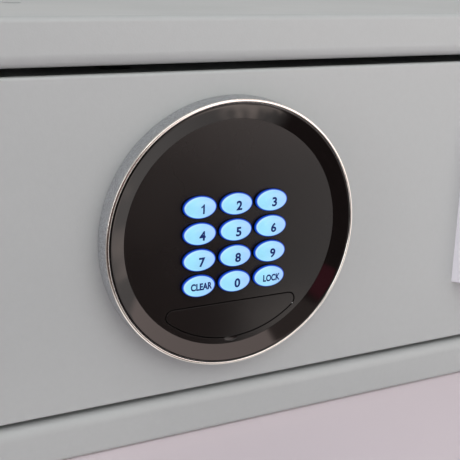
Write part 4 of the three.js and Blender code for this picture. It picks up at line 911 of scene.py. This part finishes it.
painted_highlight = maths(tree, "MULTIPLY", ranged(tree, size, 0.86, 0.95), highlight_side)
glow_with_highlight = blended(tree, painted_highlight, glow, tone(218, 243, 255))
lamp_spread = ranged(tree, noise(tree, places, 180.0, 3.0), 0.3, 0.7, 0.95, 1.04)
uneven = vector_maths(tree, "SCALE", glow_with_highlight, lamp_spread)
# The side wall's glow is painted darker towards the face plate, and the low wall takes that colour: painted
# shade at the key's foot.
foot_shade = ranged(tree, parts["Z"], 0.4 * KEY_RISE, 0.95 * KEY_RISE)
side_glow_shaded = vector_maths(tree, "SCALE", tone(9, 68, 198)[:3], foot_shade)
low_wall = ranged(tree, parts["Z"], 0.68 * KEY_RISE, 1.02 * KEY_RISE, 1.0, 0.0)
key_colour = blended(tree, maths(tree, "MAXIMUM", rim, low_wall), uneven, side_glow_shaded)
feed(shader, Base_Color=vector_maths(tree, "SCALE", key_colour, 0.1), Emission_Color=key_colour)
shader.inputs["Emission Strength"].default_value = 0.92

grid_inputs = {"Cap": "Geometry", "Column": "Int", "Row": "Int", "Pitch": "Vector", "First": "Vector"}
grid_inputs["Finish"] = "Material"
key_in_grid, given, result = new_group("key_in_grid", grid_inputs, {"Key": "Geometry"}, "Geometry")
steps_across = add_node(key_in_grid, "ShaderNodeCombineXYZ", {"X": given["Column"], "Z": given["Row"]})
shift = vector_maths(key_in_grid, "MULTIPLY", steps_across.outputs[0], given["Pitch"])
place = vector_maths(key_in_grid, "ADD", shift, given["First"])
spot = add_node(key_in_grid, "GeometryNodeMeshLine", {"Count": 1, "Start Location": place}, mode="OFFSET")
end_tree(key_in_grid, result, spot.outputs[0], given["Cap"], given["Finish"])

cap_mesh = turned(key_section, 0, 0, KEY_STEPS, CAP_SHAPE)
spread = cap_mesh.attributes.new("across_key", "FLOAT_VECTOR", "POINT")
for vert in cap_mesh.vertices:
    height = (front_y - vert.co.y) / MM + face_y
    spread.data[vert.index].vector = (vert.co.x / MM / key_r, vert.co.z / MM / (key_r * CAP_SHAPE), height)

legend_ink, tree, shader, places = new_material("legend_ink", Roughness=0.6, Specular_IOR_Level=0.2)
feed(shader, Base_Color=blended(tree, noise(tree, places, 900.0, 2.0), tone(8, 28, 92), tone(16, 44, 116)))

ONE = [(0.28, 0), (0.46, 0), (0.46, 1), (0.34, 1), (0.30, 0.92), (0.21, 0.83), (0.08, 0.77)]
ONE += [(0.08, 0.61), (0.19, 0.66), (0.28, 0.73)]
INK_UP, INK_T, INK_STEP, WORD_BOLDER, DIGIT_BOLDER, INK_DOUBLES = 0.02, 0.06, 0.8, 0.04, 0.034, 1e-5


def legend(text, width, height, x, z, right, up):
    """Ink of a legend on the dome of the key at x, z, off its middle. With no width the letters keep
    their own."""
    if text == "1":
        words = flat_curve([ONE], 1)
    else:
        words = bpy.data.curves.new("legend", "FONT")
        words.body = text
        words.resolution_u = 6
        words.offset = WORD_BOLDER if width else DIGIT_BOLDER
    flat = evaluated_mesh(put_in("legend", words))
    xs, zs = [v.co.x for v in flat.vertices], [v.co.y for v in flat.vertices]
    tall = height / (max(zs) - min(zs))
    wide = width / (max(xs) - min(xs)) if width else tall
    middle_x, middle_z = (max(xs) + min(xs)) / 2, (max(zs) + min(zs)) / 2
    bm = bmesh.new()
    bm.from_mesh(flat)
    bmesh.ops.remove_doubles(bm, verts=bm.verts, dist=INK_DOUBLES)
    for vert in bm.verts:
        vert.co = ((vert.co.x - middle_x) * wide + right, 0, (vert.co.y - middle_z) * tall + up)
    bmesh.ops.dissolve_degenerate(bm, dist=1e-3, edges=bm.edges)
    for _ in range(4):
        long_edges = [e for e in bm.edges if e.calc_length() > INK_STEP]
        bmesh.ops.subdivide_edges(bm, edges=long_edges, cuts=1)
        bmesh.ops.triangulate(bm, faces=bm.faces)
    for vert in bm.verts:
        share = math.hypot(vert.co.x / key_r, vert.co.z / (key_r * CAP_SHAPE))
        vert.co = at(x + vert.co.x, face_y - dome(share) - INK_UP, z + vert.co.z)
    skin = bmesh.ops.extrude_face_region(bm, geom=bm.faces[:])
    moved = [g for g in skin["geom"] if isinstance(g, bmesh.types.BMVert)]
    bmesh.ops.translate(bm, verts=moved, vec=(0, INK_T * MM, 0))
    # The extrusion lists its faces in another order each run, so they are put in a fixed one.
    in_order = sorted(bm.faces, key=lambda face: tuple(face.calc_center_median()))
    for i, face in enumerate(in_order):
        face.index = i
    bm.faces.sort()
    return mesh_from(bm)


DIGIT_H, WORD_H, LEGEND_RIGHT, DIGIT_UP = 4.3, 3.3, 0.4, -0.33
WORDS = {"clear": (10.2, 0.3), "lock": (8.6, -0.2)}
x0, z0 = key_place(0, 0)
grid = {"First": (x0 * MM, 0, z0 * MM), "Pitch": (KEY_PITCH_X * MM, 0, -KEY_PITCH_Z * MM)}
for row, names in enumerate(KEY_NAMES):
    for column, name in enumerate(names):
        holder, body = put_in("cap", cap_mesh.copy()), "key_" + name + "_cap"
        run_tree(holder, key_in_grid, Column=column, Row=row, Finish=lit_key, **grid)
        shown_piece("cap_" + name, evaluated_mesh(holder), None, body, ["key_" + name], 50)
        width, up = WORDS.get(name, (0, DIGIT_UP))
        height = WORD_H if width else DIGIT_H
        ink_mesh = legend(name.upper(), width, height, *key_place(row, column), LEGEND_RIGHT, up)
        shown_piece("legend_" + name, ink_mesh, legend_ink, body, [])

# Behind the keys: a moulded silicone mat that springs them back, and the keypad's circuit board with
# its controller and its resistors soldered on the back.
silicone = coated("silicone", tone(206, 212, 218), 0.25, 0.06, 0.01)
eased_node("spring_mat", "key_mat", 0.25, 2, silicone, "drawer")

circuit_board, tree, shader, places = new_material("circuit_board", Roughness=0.34, Coat_Weight=0.3)
axes = add_node(tree, "ShaderNodeSeparateXYZ", {0: places}).outputs
face_on = add_node(tree, "ShaderNodeCombineXYZ", {"X": axes["X"], "Y": axes["Z"]}).outputs[0]
in_mm = vector_maths(tree, "SCALE", face_on, 1 / MM)
track_colours = {"Color1": tone(16, 82, 44), "Color2": tone(22, 92, 52), "Mortar": tone(58, 134, 78)}
track_sizes = {"Scale": 1.0, "Mortar Size": 0.14, "Brick Width": 7.0, "Row Height": 1.3}
tracks = add_node(tree, "ShaderNodeTexBrick", {"Vector": in_mm, **track_colours, **track_sizes}).outputs
vias = add_node(tree, "ShaderNodeTexVoronoi", {"Vector": in_mm, "Scale": 0.28}).outputs["Distance"]
ring = ranged(tree, vias, 0.13, 0.1)
feed(shader, Base_Color=blended(tree, ring, tracks["Color"], tone(196, 198, 196)), Metallic=ring)
raise_surface(shader, tracks["Fac"], 0.03)
eased_node("keypad_circuit", "keypad_board", 0.12, 1, circuit_board, "drawer")

black_plastic = coated("black_plastic", tone(30, 30, 32), 0.3, 0.14, 0.02)
board_back, SOLDERED = extent("keypad_board")[3], 0.05
solder_y = board_back - SOLDERED
resistor = bevelled(block(-102, -100, solder_y, board_back + 0.7, 84, 85.2), 0.12, 1)
resistors = repeated(resistor, black_plastic, (9, (3.6, 0, 0)), (3, (0, 0, 7.5)))
controller = bevelled(block(-88, -76, solder_y, board_back + 1.1, 104, 114), 0.2, 2)
socket_x0, socket_x1 = ribbon_box[0] - 1, ribbon_box[1] + 1
socket = bevelled(block(socket_x0, socket_x1, solder_y, board_back + 1.3, exit_z - 2, exit_z + 2.6), 0.2, 2)
keypad_parts = together(resistors, controller, socket)
shown_piece("keypad_parts", keypad_parts, black_plastic, "drawer", [])

# Key lock and emergency contacts behind the half-moon cover: a plated cam lock held by a hexagon nut,
# with a brass plug, and two brass studs that an outside battery is pressed on.
LOCK_R, LOCK_HEAD_R, LOCK_BORE, PLUG_R, LOCK_THREAD, THREAD_DEPTH = 6.3, 7.5, 4.6, 4.3, 0.9, 0.4
lock_face, lock_end = extent("override_lock_body")[2:4]
head_back = recess_floor - SEAT
lock_section = [(LOCK_BORE, lock_end), (LOCK_R - THREAD_DEPTH, lock_end), (LOCK_R, lock_end - 0.4)]
for i in range(int((lock_end - 1.5 - recess_back - 1) / LOCK_THREAD)):
    y = lock_end - 1.0 - i * LOCK_THREAD
    lock_section += [(LOCK_R, y), (LOCK_R - THREAD_DEPTH, y - LOCK_THREAD / 2)]
lock_section += [(LOCK_R, recess_back), (LOCK_R, head_back), (LOCK_HEAD_R, head_back)]
lock_section += [(LOCK_HEAD_R, lock_face + 0.5), (LOCK_HEAD_R - 0.15, lock_face + 0.15)]
lock_section += [(LOCK_HEAD_R - 0.5, lock_face), (LOCK_BORE + 0.6, lock_face), (LOCK_BORE, lock_face + 0.4)]
cam_lock = turned(lock_section, KEYPAD_X, lock_z, 64)
shown_piece("cam_lock", cam_lock, chrome, "drawer", ["override_lock_body"], 40)
NUT_R, NUT_T = 9.2, 3.5
nut_y0, nut_y1 = WELL_DEPTH + 0.2, WELL_DEPTH + NUT_T
nut = turned([(LOCK_R, nut_y0), (NUT_R, nut_y0), (NUT_R, nut_y1), (LOCK_R, nut_y1)], KEYPAD_X, lock_z, 6)
shown_piece("lock_nut", bevelled(nut, 0.35, 2), zinc, "drawer", [])

brass = metal("brass", tone(201, 176, 120), (260, 260, 260), 0.22, 0.3, 0.006)
plug_face, tail_end = extent("override_plug")[2:4]
TAIL_HALF, KEYWAY_HALF, KEYWAY_HALF_H, KEYWAY_DEPTH = 2, 0.7, 3, 12
plug_back = lock_end + SEAT
plug_section = [(0, plug_back), (PLUG_R, plug_back), (PLUG_R, plug_face + 0.5), (PLUG_R - 0.4, plug_face)]
plug_section += [(1.9, plug_face), (1.6, plug_face + 0.3), (0, plug_face + 0.3)]
plug = turned(plug_section, KEYPAD_X, lock_z, 48)
tail_x, tail_z = (KEYPAD_X - TAIL_HALF, KEYPAD_X + TAIL_HALF), (lock_z - TAIL_HALF, lock_z + TAIL_HALF)
plug = combined("UNION", plug, block(*tail_x, lock_end, tail_end, *tail_z))
cut_y = (plug_face - 1, plug_face + KEYWAY_DEPTH)
keyway_x = (KEYPAD_X - KEYWAY_HALF, KEYPAD_X + KEYWAY_HALF)
keyway = block(*keyway_x, *cut_y, lock_z - KEYWAY_HALF_H, lock_z + KEYWAY_HALF_H)
ward = block(KEYPAD_X - 1.3, KEYPAD_X, *cut_y, lock_z + 0.6, lock_z + 1.5)
plug = combined("DIFFERENCE", plug, combined("UNION", keyway, ward))
shown_piece("lock_cylinder", plug, brass, "lock_plug", ["override_plug"], 40)
y0, y1 = extent("jump_contact_left")[2:4]
stud_section = [(0, y0), (1.7, y0 + 0.05), (2.5, y0 + 0.35), (2.9, y0 + 0.8), (3.0, y0 + 1.3)]
stud_section += [(3.0, y1 - 1.5), (1.5, y1 - 1.5), (1.5, y1 - 0.2), (1.3, y1), (0, y1)]
for label in ("left", "right"):
    stud = turned(stud_section, *middle("jump_contact_" + label), 40)
    shown_piece("contact_stud_" + label, stud, brass, "drawer", ["jump_contact_" + label])

# Lock space: a zinc-plated chassis with columns, guide pins and board posts, closed from behind by a
# folded steel cover that four cross-head screws hold.
eased_node("lock_cover_box", "lock_cover", 0.35, 2, front_paint, "drawer")
eased_node("chassis", "lock_chassis", 0.15, 1, zinc, "drawer")
SHANK_R, HEAD_R, HEAD_T, HEAD_DOME, CROSS_W, CROSS_L, CROSS_DEPTH = 2.0, 4.0, 2.5, 1.7, 0.9, 4.2, 1.5
SCREW_TURNS, SCREW_THREAD = 9, 1.1
y0, y1 = extent("cover_screw_1")[2:4]
(screw_x, screw_z), (far_x, far_z) = middle("cover_screw_1"), middle("cover_screw_4")
screw_section = [(0, y0), (SHANK_R - 0.8, y0), (SHANK_R, y0 + 1.2)]
for i in range(SCREW_TURNS):
    y = y0 + 1.6 + i * SCREW_THREAD
    screw_section += [(SHANK_R, y), (SHANK_R - THREAD_DEPTH, y + SCREW_THREAD / 2)]
screw_section += [(SHANK_R, y1 - HEAD_T), (HEAD_R - 0.15, y1 - HEAD_T), (HEAD_R, y1 - HEAD_T + 0.2)]
for a in (0.2, 0.5, 0.8, 1.1, 1.35):
    screw_section.append((HEAD_R * math.cos(a), y1 - HEAD_DOME + HEAD_DOME * math.sin(a)))
screw_section.append((0, y1))
screw = turned(screw_section, screw_x, screw_z, 32)
slots = []
for half_x, half_z in ((CROSS_L / 2, CROSS_W / 2), (CROSS_W / 2, CROSS_L / 2)):
    slot_x, slot_z = (screw_x - half_x, screw_x + half_x), (screw_z - half_z, screw_z + half_z)
    slots.append(block(*slot_x, y1 - CROSS_DEPTH, y1 + 1, *slot_z))
screw = combined("DIFFERENCE", screw, combined("UNION", *slots))
screws = repeated(screw, zinc, (2, (far_x - screw_x, 0, 0)), (2, (0, 0, far_z - screw_z)))
screw_nodes = ["cover_screw_%d" % i for i in (1, 2, 3, 4)]
shown_piece("cover_screws", screws, zinc, "drawer", screw_nodes, 40)

# Bolt work: a punched slide with a rack, driven up and down by a nylon wheel, and two turned steel
# bolts riveted in its tabs. The wheel is turned by a small motor's brass pinion or by the key.
eased_node("bolt_slide_plate", "bolt_bar", 0.1, 1, zinc, "bolt_carriage")
SHOULDER_UP, STEM_R = 4.3, 3.5
for label in ("left", "right"):
    x0, x1, y0, y1, z0, z1 = extent("lock_bolt_" + label)
    bolt_r, shoulder = (x1 - x0) / 2, z0 + SHOULDER_UP
    bolt_section = [(0, z0), (STEM_R - 0.2, z0), (STEM_R, z0 + 0.3), (STEM_R, shoulder)]
    bolt_section += [(bolt_r - 0.3, shoulder), (bolt_r, shoulder + 0.3), (bolt_r, z1 - 1.4)]
    bolt_section += [(bolt_r - 0.12, z1 - 0.8), (bolt_r - 0.5, z1 - 0.3), (bolt_r - 1.1, z1), (0, z1)]
    bolt = laid(turned(bolt_section, 0, 0, 48), 90, "X", (x0 + x1) / 2, (y0 + y1) / 2, 0)
    shown_piece("bolt_" + label, bolt, steel, "bolt_carriage", ["lock_bolt_" + label])

nylon = coated("nylon", tone(228, 224, 210), 0.3, 0.06, 0.015)
y0, y1 = extent("drive_gear")[2:4]
wheel_x, wheel_z = middle("drive_gear")
WEB_HOLES, WEB_HOLE_R, WEB_HOLE_AT = 6, 2.1, 8.7
web_hole_section = [(0, y0), (WEB_HOLE_R, y0), (WEB_HOLE_R, y1), (0, y1)]
web_holes = []
for i in range(WEB_HOLES):
    a = (i + 0.5) * 2 * math.pi / WEB_HOLES
    x, z = wheel_x + WEB_HOLE_AT * math.cos(a), wheel_z + WEB_HOLE_AT * math.sin(a)
    web_holes.append(turned(web_hole_section, x, z, 24))
wheel = combined("DIFFERENCE", bevelled("drive_gear", 0.12, 1), together(*web_holes))
shown_piece("nylon_wheel", wheel, nylon, "drive_wheel", ["drive_gear"])
eased_node("brass_pinion", "motor_pinion", 0.08, 1, brass, "motor_shaft")
BOSS_R, MOTOR_BORE_R, MOTOR_BORE_DEPTH, GROOVE = 3.4, 1.8, 2.7, 0.35
x0, x1, y0, y1, z0, z1 = extent("lock_motor")
can_r = (x1 - x0) / 2
can_section = [(0, y0), (BOSS_R - 0.2, y0), (BOSS_R, y0 + 0.2), (BOSS_R, y0 + 1.2), (can_r - 1.2, y0 + 1.2)]
can_section += [(can_r - 0.4, y0 + 1.6), (can_r, y0 + 2.4), (can_r, y0 + 3.6), (can_r - GROOVE, y0 + 3.9)]
can_section += [(can_r - GROOVE, y0 + 4.3), (can_r, y0 + 4.6), (can_r, y1 - 1), (can_r - 0.3, y1 - 0.3)]
can_section += [(can_r - 1, y1), (MOTOR_BORE_R, y1), (MOTOR_BORE_R, y1 - MOTOR_BORE_DEPTH)]
can_section.append((0, y1 - MOTOR_BORE_DEPTH))
motor_can = turned(can_section, *middle("lock_motor"), 64)
shown_piece("motor_can", motor_can, steel, "drawer", ["lock_motor"])

# Battery box: moulded black plastic with ribs between four AA cells, and a lid with a ribbed grip that
# hinges at its lower edge behind the lock cover.
x0, x1, y0, y1, z0, z1 = extent("battery_box")
CELL_PITCH, BOX_WALL, RIB_W, RIB_H = 15.0, 1.5, 0.5, 4.2
rib_x = x0 + BOX_WALL + CELL_PITCH
rib_y = (y0 + BOX_WALL / 2, y0 + BOX_WALL + RIB_H)
rib = block(rib_x - RIB_W / 2, rib_x + RIB_W / 2, *rib_y, z0 + 1, z1 - 1)
ribs = repeated(rib, black_plastic, (3, (CELL_PITCH, 0, 0)))
CONTACT_HALF, CONTACT_T, CONTACT_SUNK = 4.2, 0.3, 0.02
cell_x = rib_x - CELL_PITCH / 2
contacts = []
for z in (z0 + BOX_WALL - CONTACT_SUNK, z1 - BOX_WALL - CONTACT_T + CONTACT_SUNK):
    contact_x = (cell_x - CONTACT_HALF, cell_x + CONTACT_HALF)
    contacts.append(bevelled(block(*contact_x, y0 + BOX_WALL + 2, y1 - 1, z, z + CONTACT_T), 0.1, 1))
cell_contacts = repeated(together(*contacts), zinc, (4, (CELL_PITCH, 0, 0)))
shown_piece("cell_contacts", cell_contacts, zinc, "drawer", [])
tray = together(bevelled("battery_box", 0.35, 2), ribs)
shown_piece("battery_tray", tray, black_plastic, "drawer", ["battery_box"])

jacket, tree, shader, places = new_material(
    "cell_jacket", Roughness=0.28, Coat_Weight=0.4, Coat_Roughness=0.08
)
x0, x1, y0, y1, foot, tip = extent("battery_1")
TIP_UP, BAND_UP = 1.0, 6.0
upper = tip - TIP_UP
up = add_node(tree, "ShaderNodeSeparateXYZ", {0: places}).outputs["Z"]
band = ranged(tree, up, (foot + BAND_UP + 0.05) * MM, (foot + BAND_UP) * MM)
lower_end = ranged(tree, up, (foot + 0.9) * MM, (foot + 0.85) * MM)
upper_end = ranged(tree, up, (upper - 1.35) * MM, (upper - 1.3) * MM)
bare = maths(tree, "MAXIMUM", lower_end, upper_end)
scuff = noise(tree, places, 240.0, 4.0)
slate = blended(tree, scuff, tone(62, 84, 104), tone(74, 97, 118))
pale = blended(tree, scuff, tone(188, 192, 196), tone(204, 207, 210))
cell_colour = blended(tree, bare, blended(tree, band, slate, pale), tone(200, 201, 202))
feed(shader, Base_Color=cell_colour, Metallic=bare)
cell_r = (x1 - x0) / 2
cell_section = [(0, foot + 0.4), (3.6, foot + 0.4), (4.2, foot), (cell_r - 0.5, foot), (cell_r, foot + 0.5)]
cell_section += [(cell_r, upper - 1.9), (cell_r - 0.25, upper - 1.3), (cell_r - 0.9, upper - 1.05)]
cell_section += [(2.9, upper - 1.0), (2.7, upper - 0.8), (2.7, tip - 0.3), (2.4, tip), (0, tip)]
for number in "1234":
    x0, x1, y0, y1, z0, z1 = extent("battery_" + number)
    cell = laid(turned(cell_section, 0, 0, 40), 90, "X", (x0 + x1) / 2, (y0 + y1) / 2, 0)
    shown_piece("cell_" + number, cell, jacket, "drawer", ["battery_" + number])

GRIP_RIBS, GRIP_PITCH, GRIP_HALF, GRIP_H, GRIP_RIB_W, GRIP_DROP = 6, 1.9, 12.0, 0.6, 0.9, 6
x0, x1, y0, y1, z0, z1 = extent("battery_lid")
lid_x = (x0 + x1) / 2
grip_z = z1 - GRIP_DROP - (GRIP_RIBS - 1) * GRIP_PITCH
grip = block(lid_x - GRIP_HALF, lid_x + GRIP_HALF, y1 - 0.2, y1 + GRIP_H, grip_z, grip_z + GRIP_RIB_W)
grips = repeated(bevelled(grip, 0.3, 2), black_plastic, (GRIP_RIBS, (0, 0, GRIP_PITCH)))
lid = together(bevelled("battery_lid", 0.35, 2), grips)
shown_piece("battery_flap", lid, black_plastic, "battery_door", ["battery_lid"])

# Control board: a glass-fibre board on posts with its relay, chips, capacitors and a push switch, which
# a red cap in the lock cover presses to set a new code. A flat cable joins it to the keypad.
x0, x1, board_y, y1, z0, z1 = extent("control_board")
BOARD_T, SOLDER_SUNK, SWITCH_HALF = 1.6, 0.1, 3.4
top_y = board_y + BOARD_T
foot_y = top_y - SOLDER_SUNK
board = bevelled(block(x0, x1, board_y, top_y, z0, z1), 0.12, 1)
shown_piece("control_circuit", board, circuit_board, "drawer", ["control_board"])
button_x, button_z = middle("reset_button")
relay = bevelled(block(x0 + 7, x0 + 25, foot_y, top_y + 7.4, z0 + 7, z0 + 21), 0.6, 3)
chip = bevelled(block(x0 + 6, x0 + 16, top_y + 0.2, top_y + 1.6, z0 + 30, z0 + 40), 0.2, 2)
small_chip = bevelled(block(x0 + 21, x0 + 26, top_y + 0.2, top_y + 1.5, z0 + 28, z0 + 32), 0.15, 1)
line_up = bevelled(block(x0 + 31, x0 + 33, foot_y, top_y + 0.6, z0 + 26, z0 + 27.2), 0.1, 1)
line_up = repeated(line_up, black_plastic, (3, (4, 0, 0)), (7, (0, 0, 2.6)))
stem_section = [(0, top_y + 3.4), (1.7, top_y + 3.4), (1.7, top_y + 4.4), (0, top_y + 4.4)]
stem = turned(stem_section, button_x, button_z, 24)
socket = bevelled(block(socket_x0, socket_x1, foot_y, top_y + 2.8, z1 - 6.5, z1 - 1.5), 0.3, 2)
board_parts = together(relay, chip, small_chip, line_up, stem, socket)
shown_piece("board_parts", board_parts, black_plastic, "drawer", [])
pin = block(x0 + 5.2, x0 + 6.2, foot_y, top_y + 0.9, z0 + 30.6, z0 + 31)
pins = repeated(pin, zinc, (2, (10.6, 0, 0)), (10, (0, 0, 0.95)))
tank_section = [(0, foot_y), (3.1, foot_y), (3.1, top_y + 1.1), (2.9, top_y + 1.4), (2.9, top_y + 1.8)]
tank_section += [(3.1, top_y + 2.1), (3.1, top_y + 7.2), (2.8, top_y + 7.6), (0, top_y + 7.6)]
tanks = repeated(turned(tank_section, x0 + 33, z0 + 9, 32), zinc, (2, (0, 0, 8)))
switch_x = (button_x - SWITCH_HALF, button_x + SWITCH_HALF)
switch_z = (button_z - SWITCH_HALF, button_z + SWITCH_HALF)
switch_case = bevelled(block(*switch_x, foot_y, top_y + 3.5, *switch_z), 0.3, 2)
shown_piece("board_metal", together(pins, tanks, switch_case), zinc, "drawer", [])

red_plastic = coated("red_plastic", tone(178, 32, 26), 0.3, 0.08, 0.01)
y0, y1 = extent("reset_button")[2:4]
CAP_FLANGE_R, CAP_FLANGE_T, RED_CAP_R = 4.6, 1.2, 3.5
button_section = [(0, y0), (CAP_FLANGE_R - 0.1, y0), (CAP_FLANGE_R, y0 + 0.1)]
button_section += [(CAP_FLANGE_R, y0 + CAP_FLANGE_T - 0.1), (CAP_FLANGE_R - 0.1, y0 + CAP_FLANGE_T)]
button_section += [(RED_CAP_R, y0 + CAP_FLANGE_T), (RED_CAP_R, y1 - 0.5), (RED_CAP_R - 0.15, y1 - 0.15)]
button_section += [(RED_CAP_R - 0.5, y1), (2.4, y1 - 0.05), (1.4, y1 - 0.3), (0, y1 - 0.4)]
red_cap = turned(button_section, button_x, button_z, 40)
shown_piece("red_cap", red_cap, red_plastic, "reset_cap", ["reset_button"])

CABLE_T, CABLE_BEND, WIRES, WIRE_STEPS, BEND_STEPS, MARKED_W = 0.8, 2.2, 10, 6, 8, 1.2
SLOPE_FROM, SLOPE_TO, SLOT_UP = 11.2, 21.2, 5
cable_x0, cable_x1, cable_y0, cable_y1, cable_z0 = ribbon_box[:5]
insulation, tree, shader, places = new_material("insulation", Roughness=0.5)
over = add_node(tree, "ShaderNodeSeparateXYZ", {0: places}).outputs["X"]
marked_x = cable_x0 + MARKED_W
marked = ranged(tree, over, (marked_x + 0.05) * MM, (marked_x - 0.05) * MM)
grey = blended(tree, noise(tree, places, 300.0, 3.0), tone(118, 119, 122), tone(140, 141, 144))
feed(shader, Base_Color=blended(tree, marked, grey, tone(170, 40, 36)))
upper_z, slot_z, end_y = exit_z + CABLE_T / 2, z1 + SLOT_UP + CABLE_T / 2, cable_y1 - CABLE_T / 2
corners = [Vector((cable_y0, upper_z)), Vector((SLOPE_FROM, upper_z)), Vector((SLOPE_TO, slot_z))]
corners += [Vector((end_y, slot_z)), Vector((end_y, cable_z0))]
route = [corners[0]]
for before, here, after in zip(corners, corners[1:], corners[2:]):
    start = here + (before - here).normalized() * CABLE_BEND
    stop = here + (after - here).normalized() * CABLE_BEND
    for i in range(BEND_STEPS + 1):
        t = i / BEND_STEPS
        route.append(start * (1 - t) ** 2 + here * 2 * t * (1 - t) + stop * t**2)
route.append(corners[-1])
half_section = []
for i in range(WIRES * WIRE_STEPS + 1):
    t = i / (WIRES * WIRE_STEPS)
    half_t = CABLE_T / 2 * (0.6 + 0.4 * abs(math.sin(math.pi * WIRES * t)))
    half_section.append((cable_x0 + (cable_x1 - cable_x0) * t, half_t))
cable_section = half_section + [(x, -h) for x, h in reversed(half_section)]
levels = []
for here, ahead, behind in zip(route, route[1:] + route[-1:], route[:1] + route[:-1]):
    along = (ahead - behind).normalized()
    levels.append([at(x, here.x - along.y * h, here.y + along.x * h) for x, h in cable_section])
shown_piece("flat_cable", lofted(levels), insulation, "drawer", ["ribbon_cable"], 50)

# Pull: a cast block over a cup let into the drawer front, lacquered a pale silver, its colour painted
# lighter still as painted light on its left side. Its sides lean in for the mould. The fingers go in at
# the right and hook behind its left part.
pull_paint = coated("pull_paint", tone(234, 233, 239), 0.7, 0.05, 0.03)
x0, x1, y0, y1, z0, z1 = extent("pull_housing")
PULL_EDGE, WIDE_DRAFT, DRAFT, CUP_INSET, CUP_WALL, GRIP_W, GRIP_T = 1.1, 4.5, 1.6, 3.0, 2.0, 18.0, 3.0
CUP_FOOT, BULGES = 0.5, ((0.4, 1.8), (1.6, 1.4))
room_inset = CUP_INSET + CUP_WALL
quarter = [math.radians(a) for a in (0, 22.5, 45, 67.5, 90)]
rounding = [(PULL_EDGE * (1 - math.sin(a)), PULL_EDGE * (1 - math.cos(a))) for a in quarter]


def block_level(y, inset):
    """The block's outline at a depth, brought in by an inset and by the lean of its sides."""
    left, other = WIDE_DRAFT * y / y0 + inset, DRAFT * y / y0 + inset
    return x0 + left, x1 - other, z0 + other, z1 - other, y


def cup_level(y, inset):
    """The outline of the cup's outside at a depth."""
    inset += CUP_INSET
    return x0 + inset, x1 - inset, z0 + inset, z1 - inset, y


def room_level(y, left, inset):
    """The outline of the hollow: its left wall's distance from the block's left foot, and an inset."""
    edge = room_inset + inset
    return x0 + left, x1 - edge, z0 + edge, z1 - edge, y


levels = [cup_level(y1, CUP_FOOT), cup_level(y1 - CUP_FOOT, 0), cup_level(0, 0), block_level(0, 0)]
levels += [block_level(y0 + drop, inset) for drop, inset in rounding]
levels += [room_level(y0 + drop, GRIP_W - inset, -inset) for drop, inset in reversed(rounding)]
levels += [room_level(y0 + GRIP_T - drop, GRIP_W - inset, 0) for drop, inset in rounding]
levels += [room_level(y0 + GRIP_T + deeper, room_inset + left, 0) for deeper, left in BULGES]
levels.append(room_level(0, room_inset, 0))
levels += [room_level(y1 - CUP_WALL - drop, room_inset + inset, inset) for drop, inset in rounding]
outlines = []
for left, right, low, high, y in levels:
    outlines.append([at(x, y, z) for x, z in rounded_rect(left, right, low, high, PULL_EDGE, 5)])
shown_piece("pull_casting", lofted(outlines), pull_paint, "drawer", ["pull_housing"])
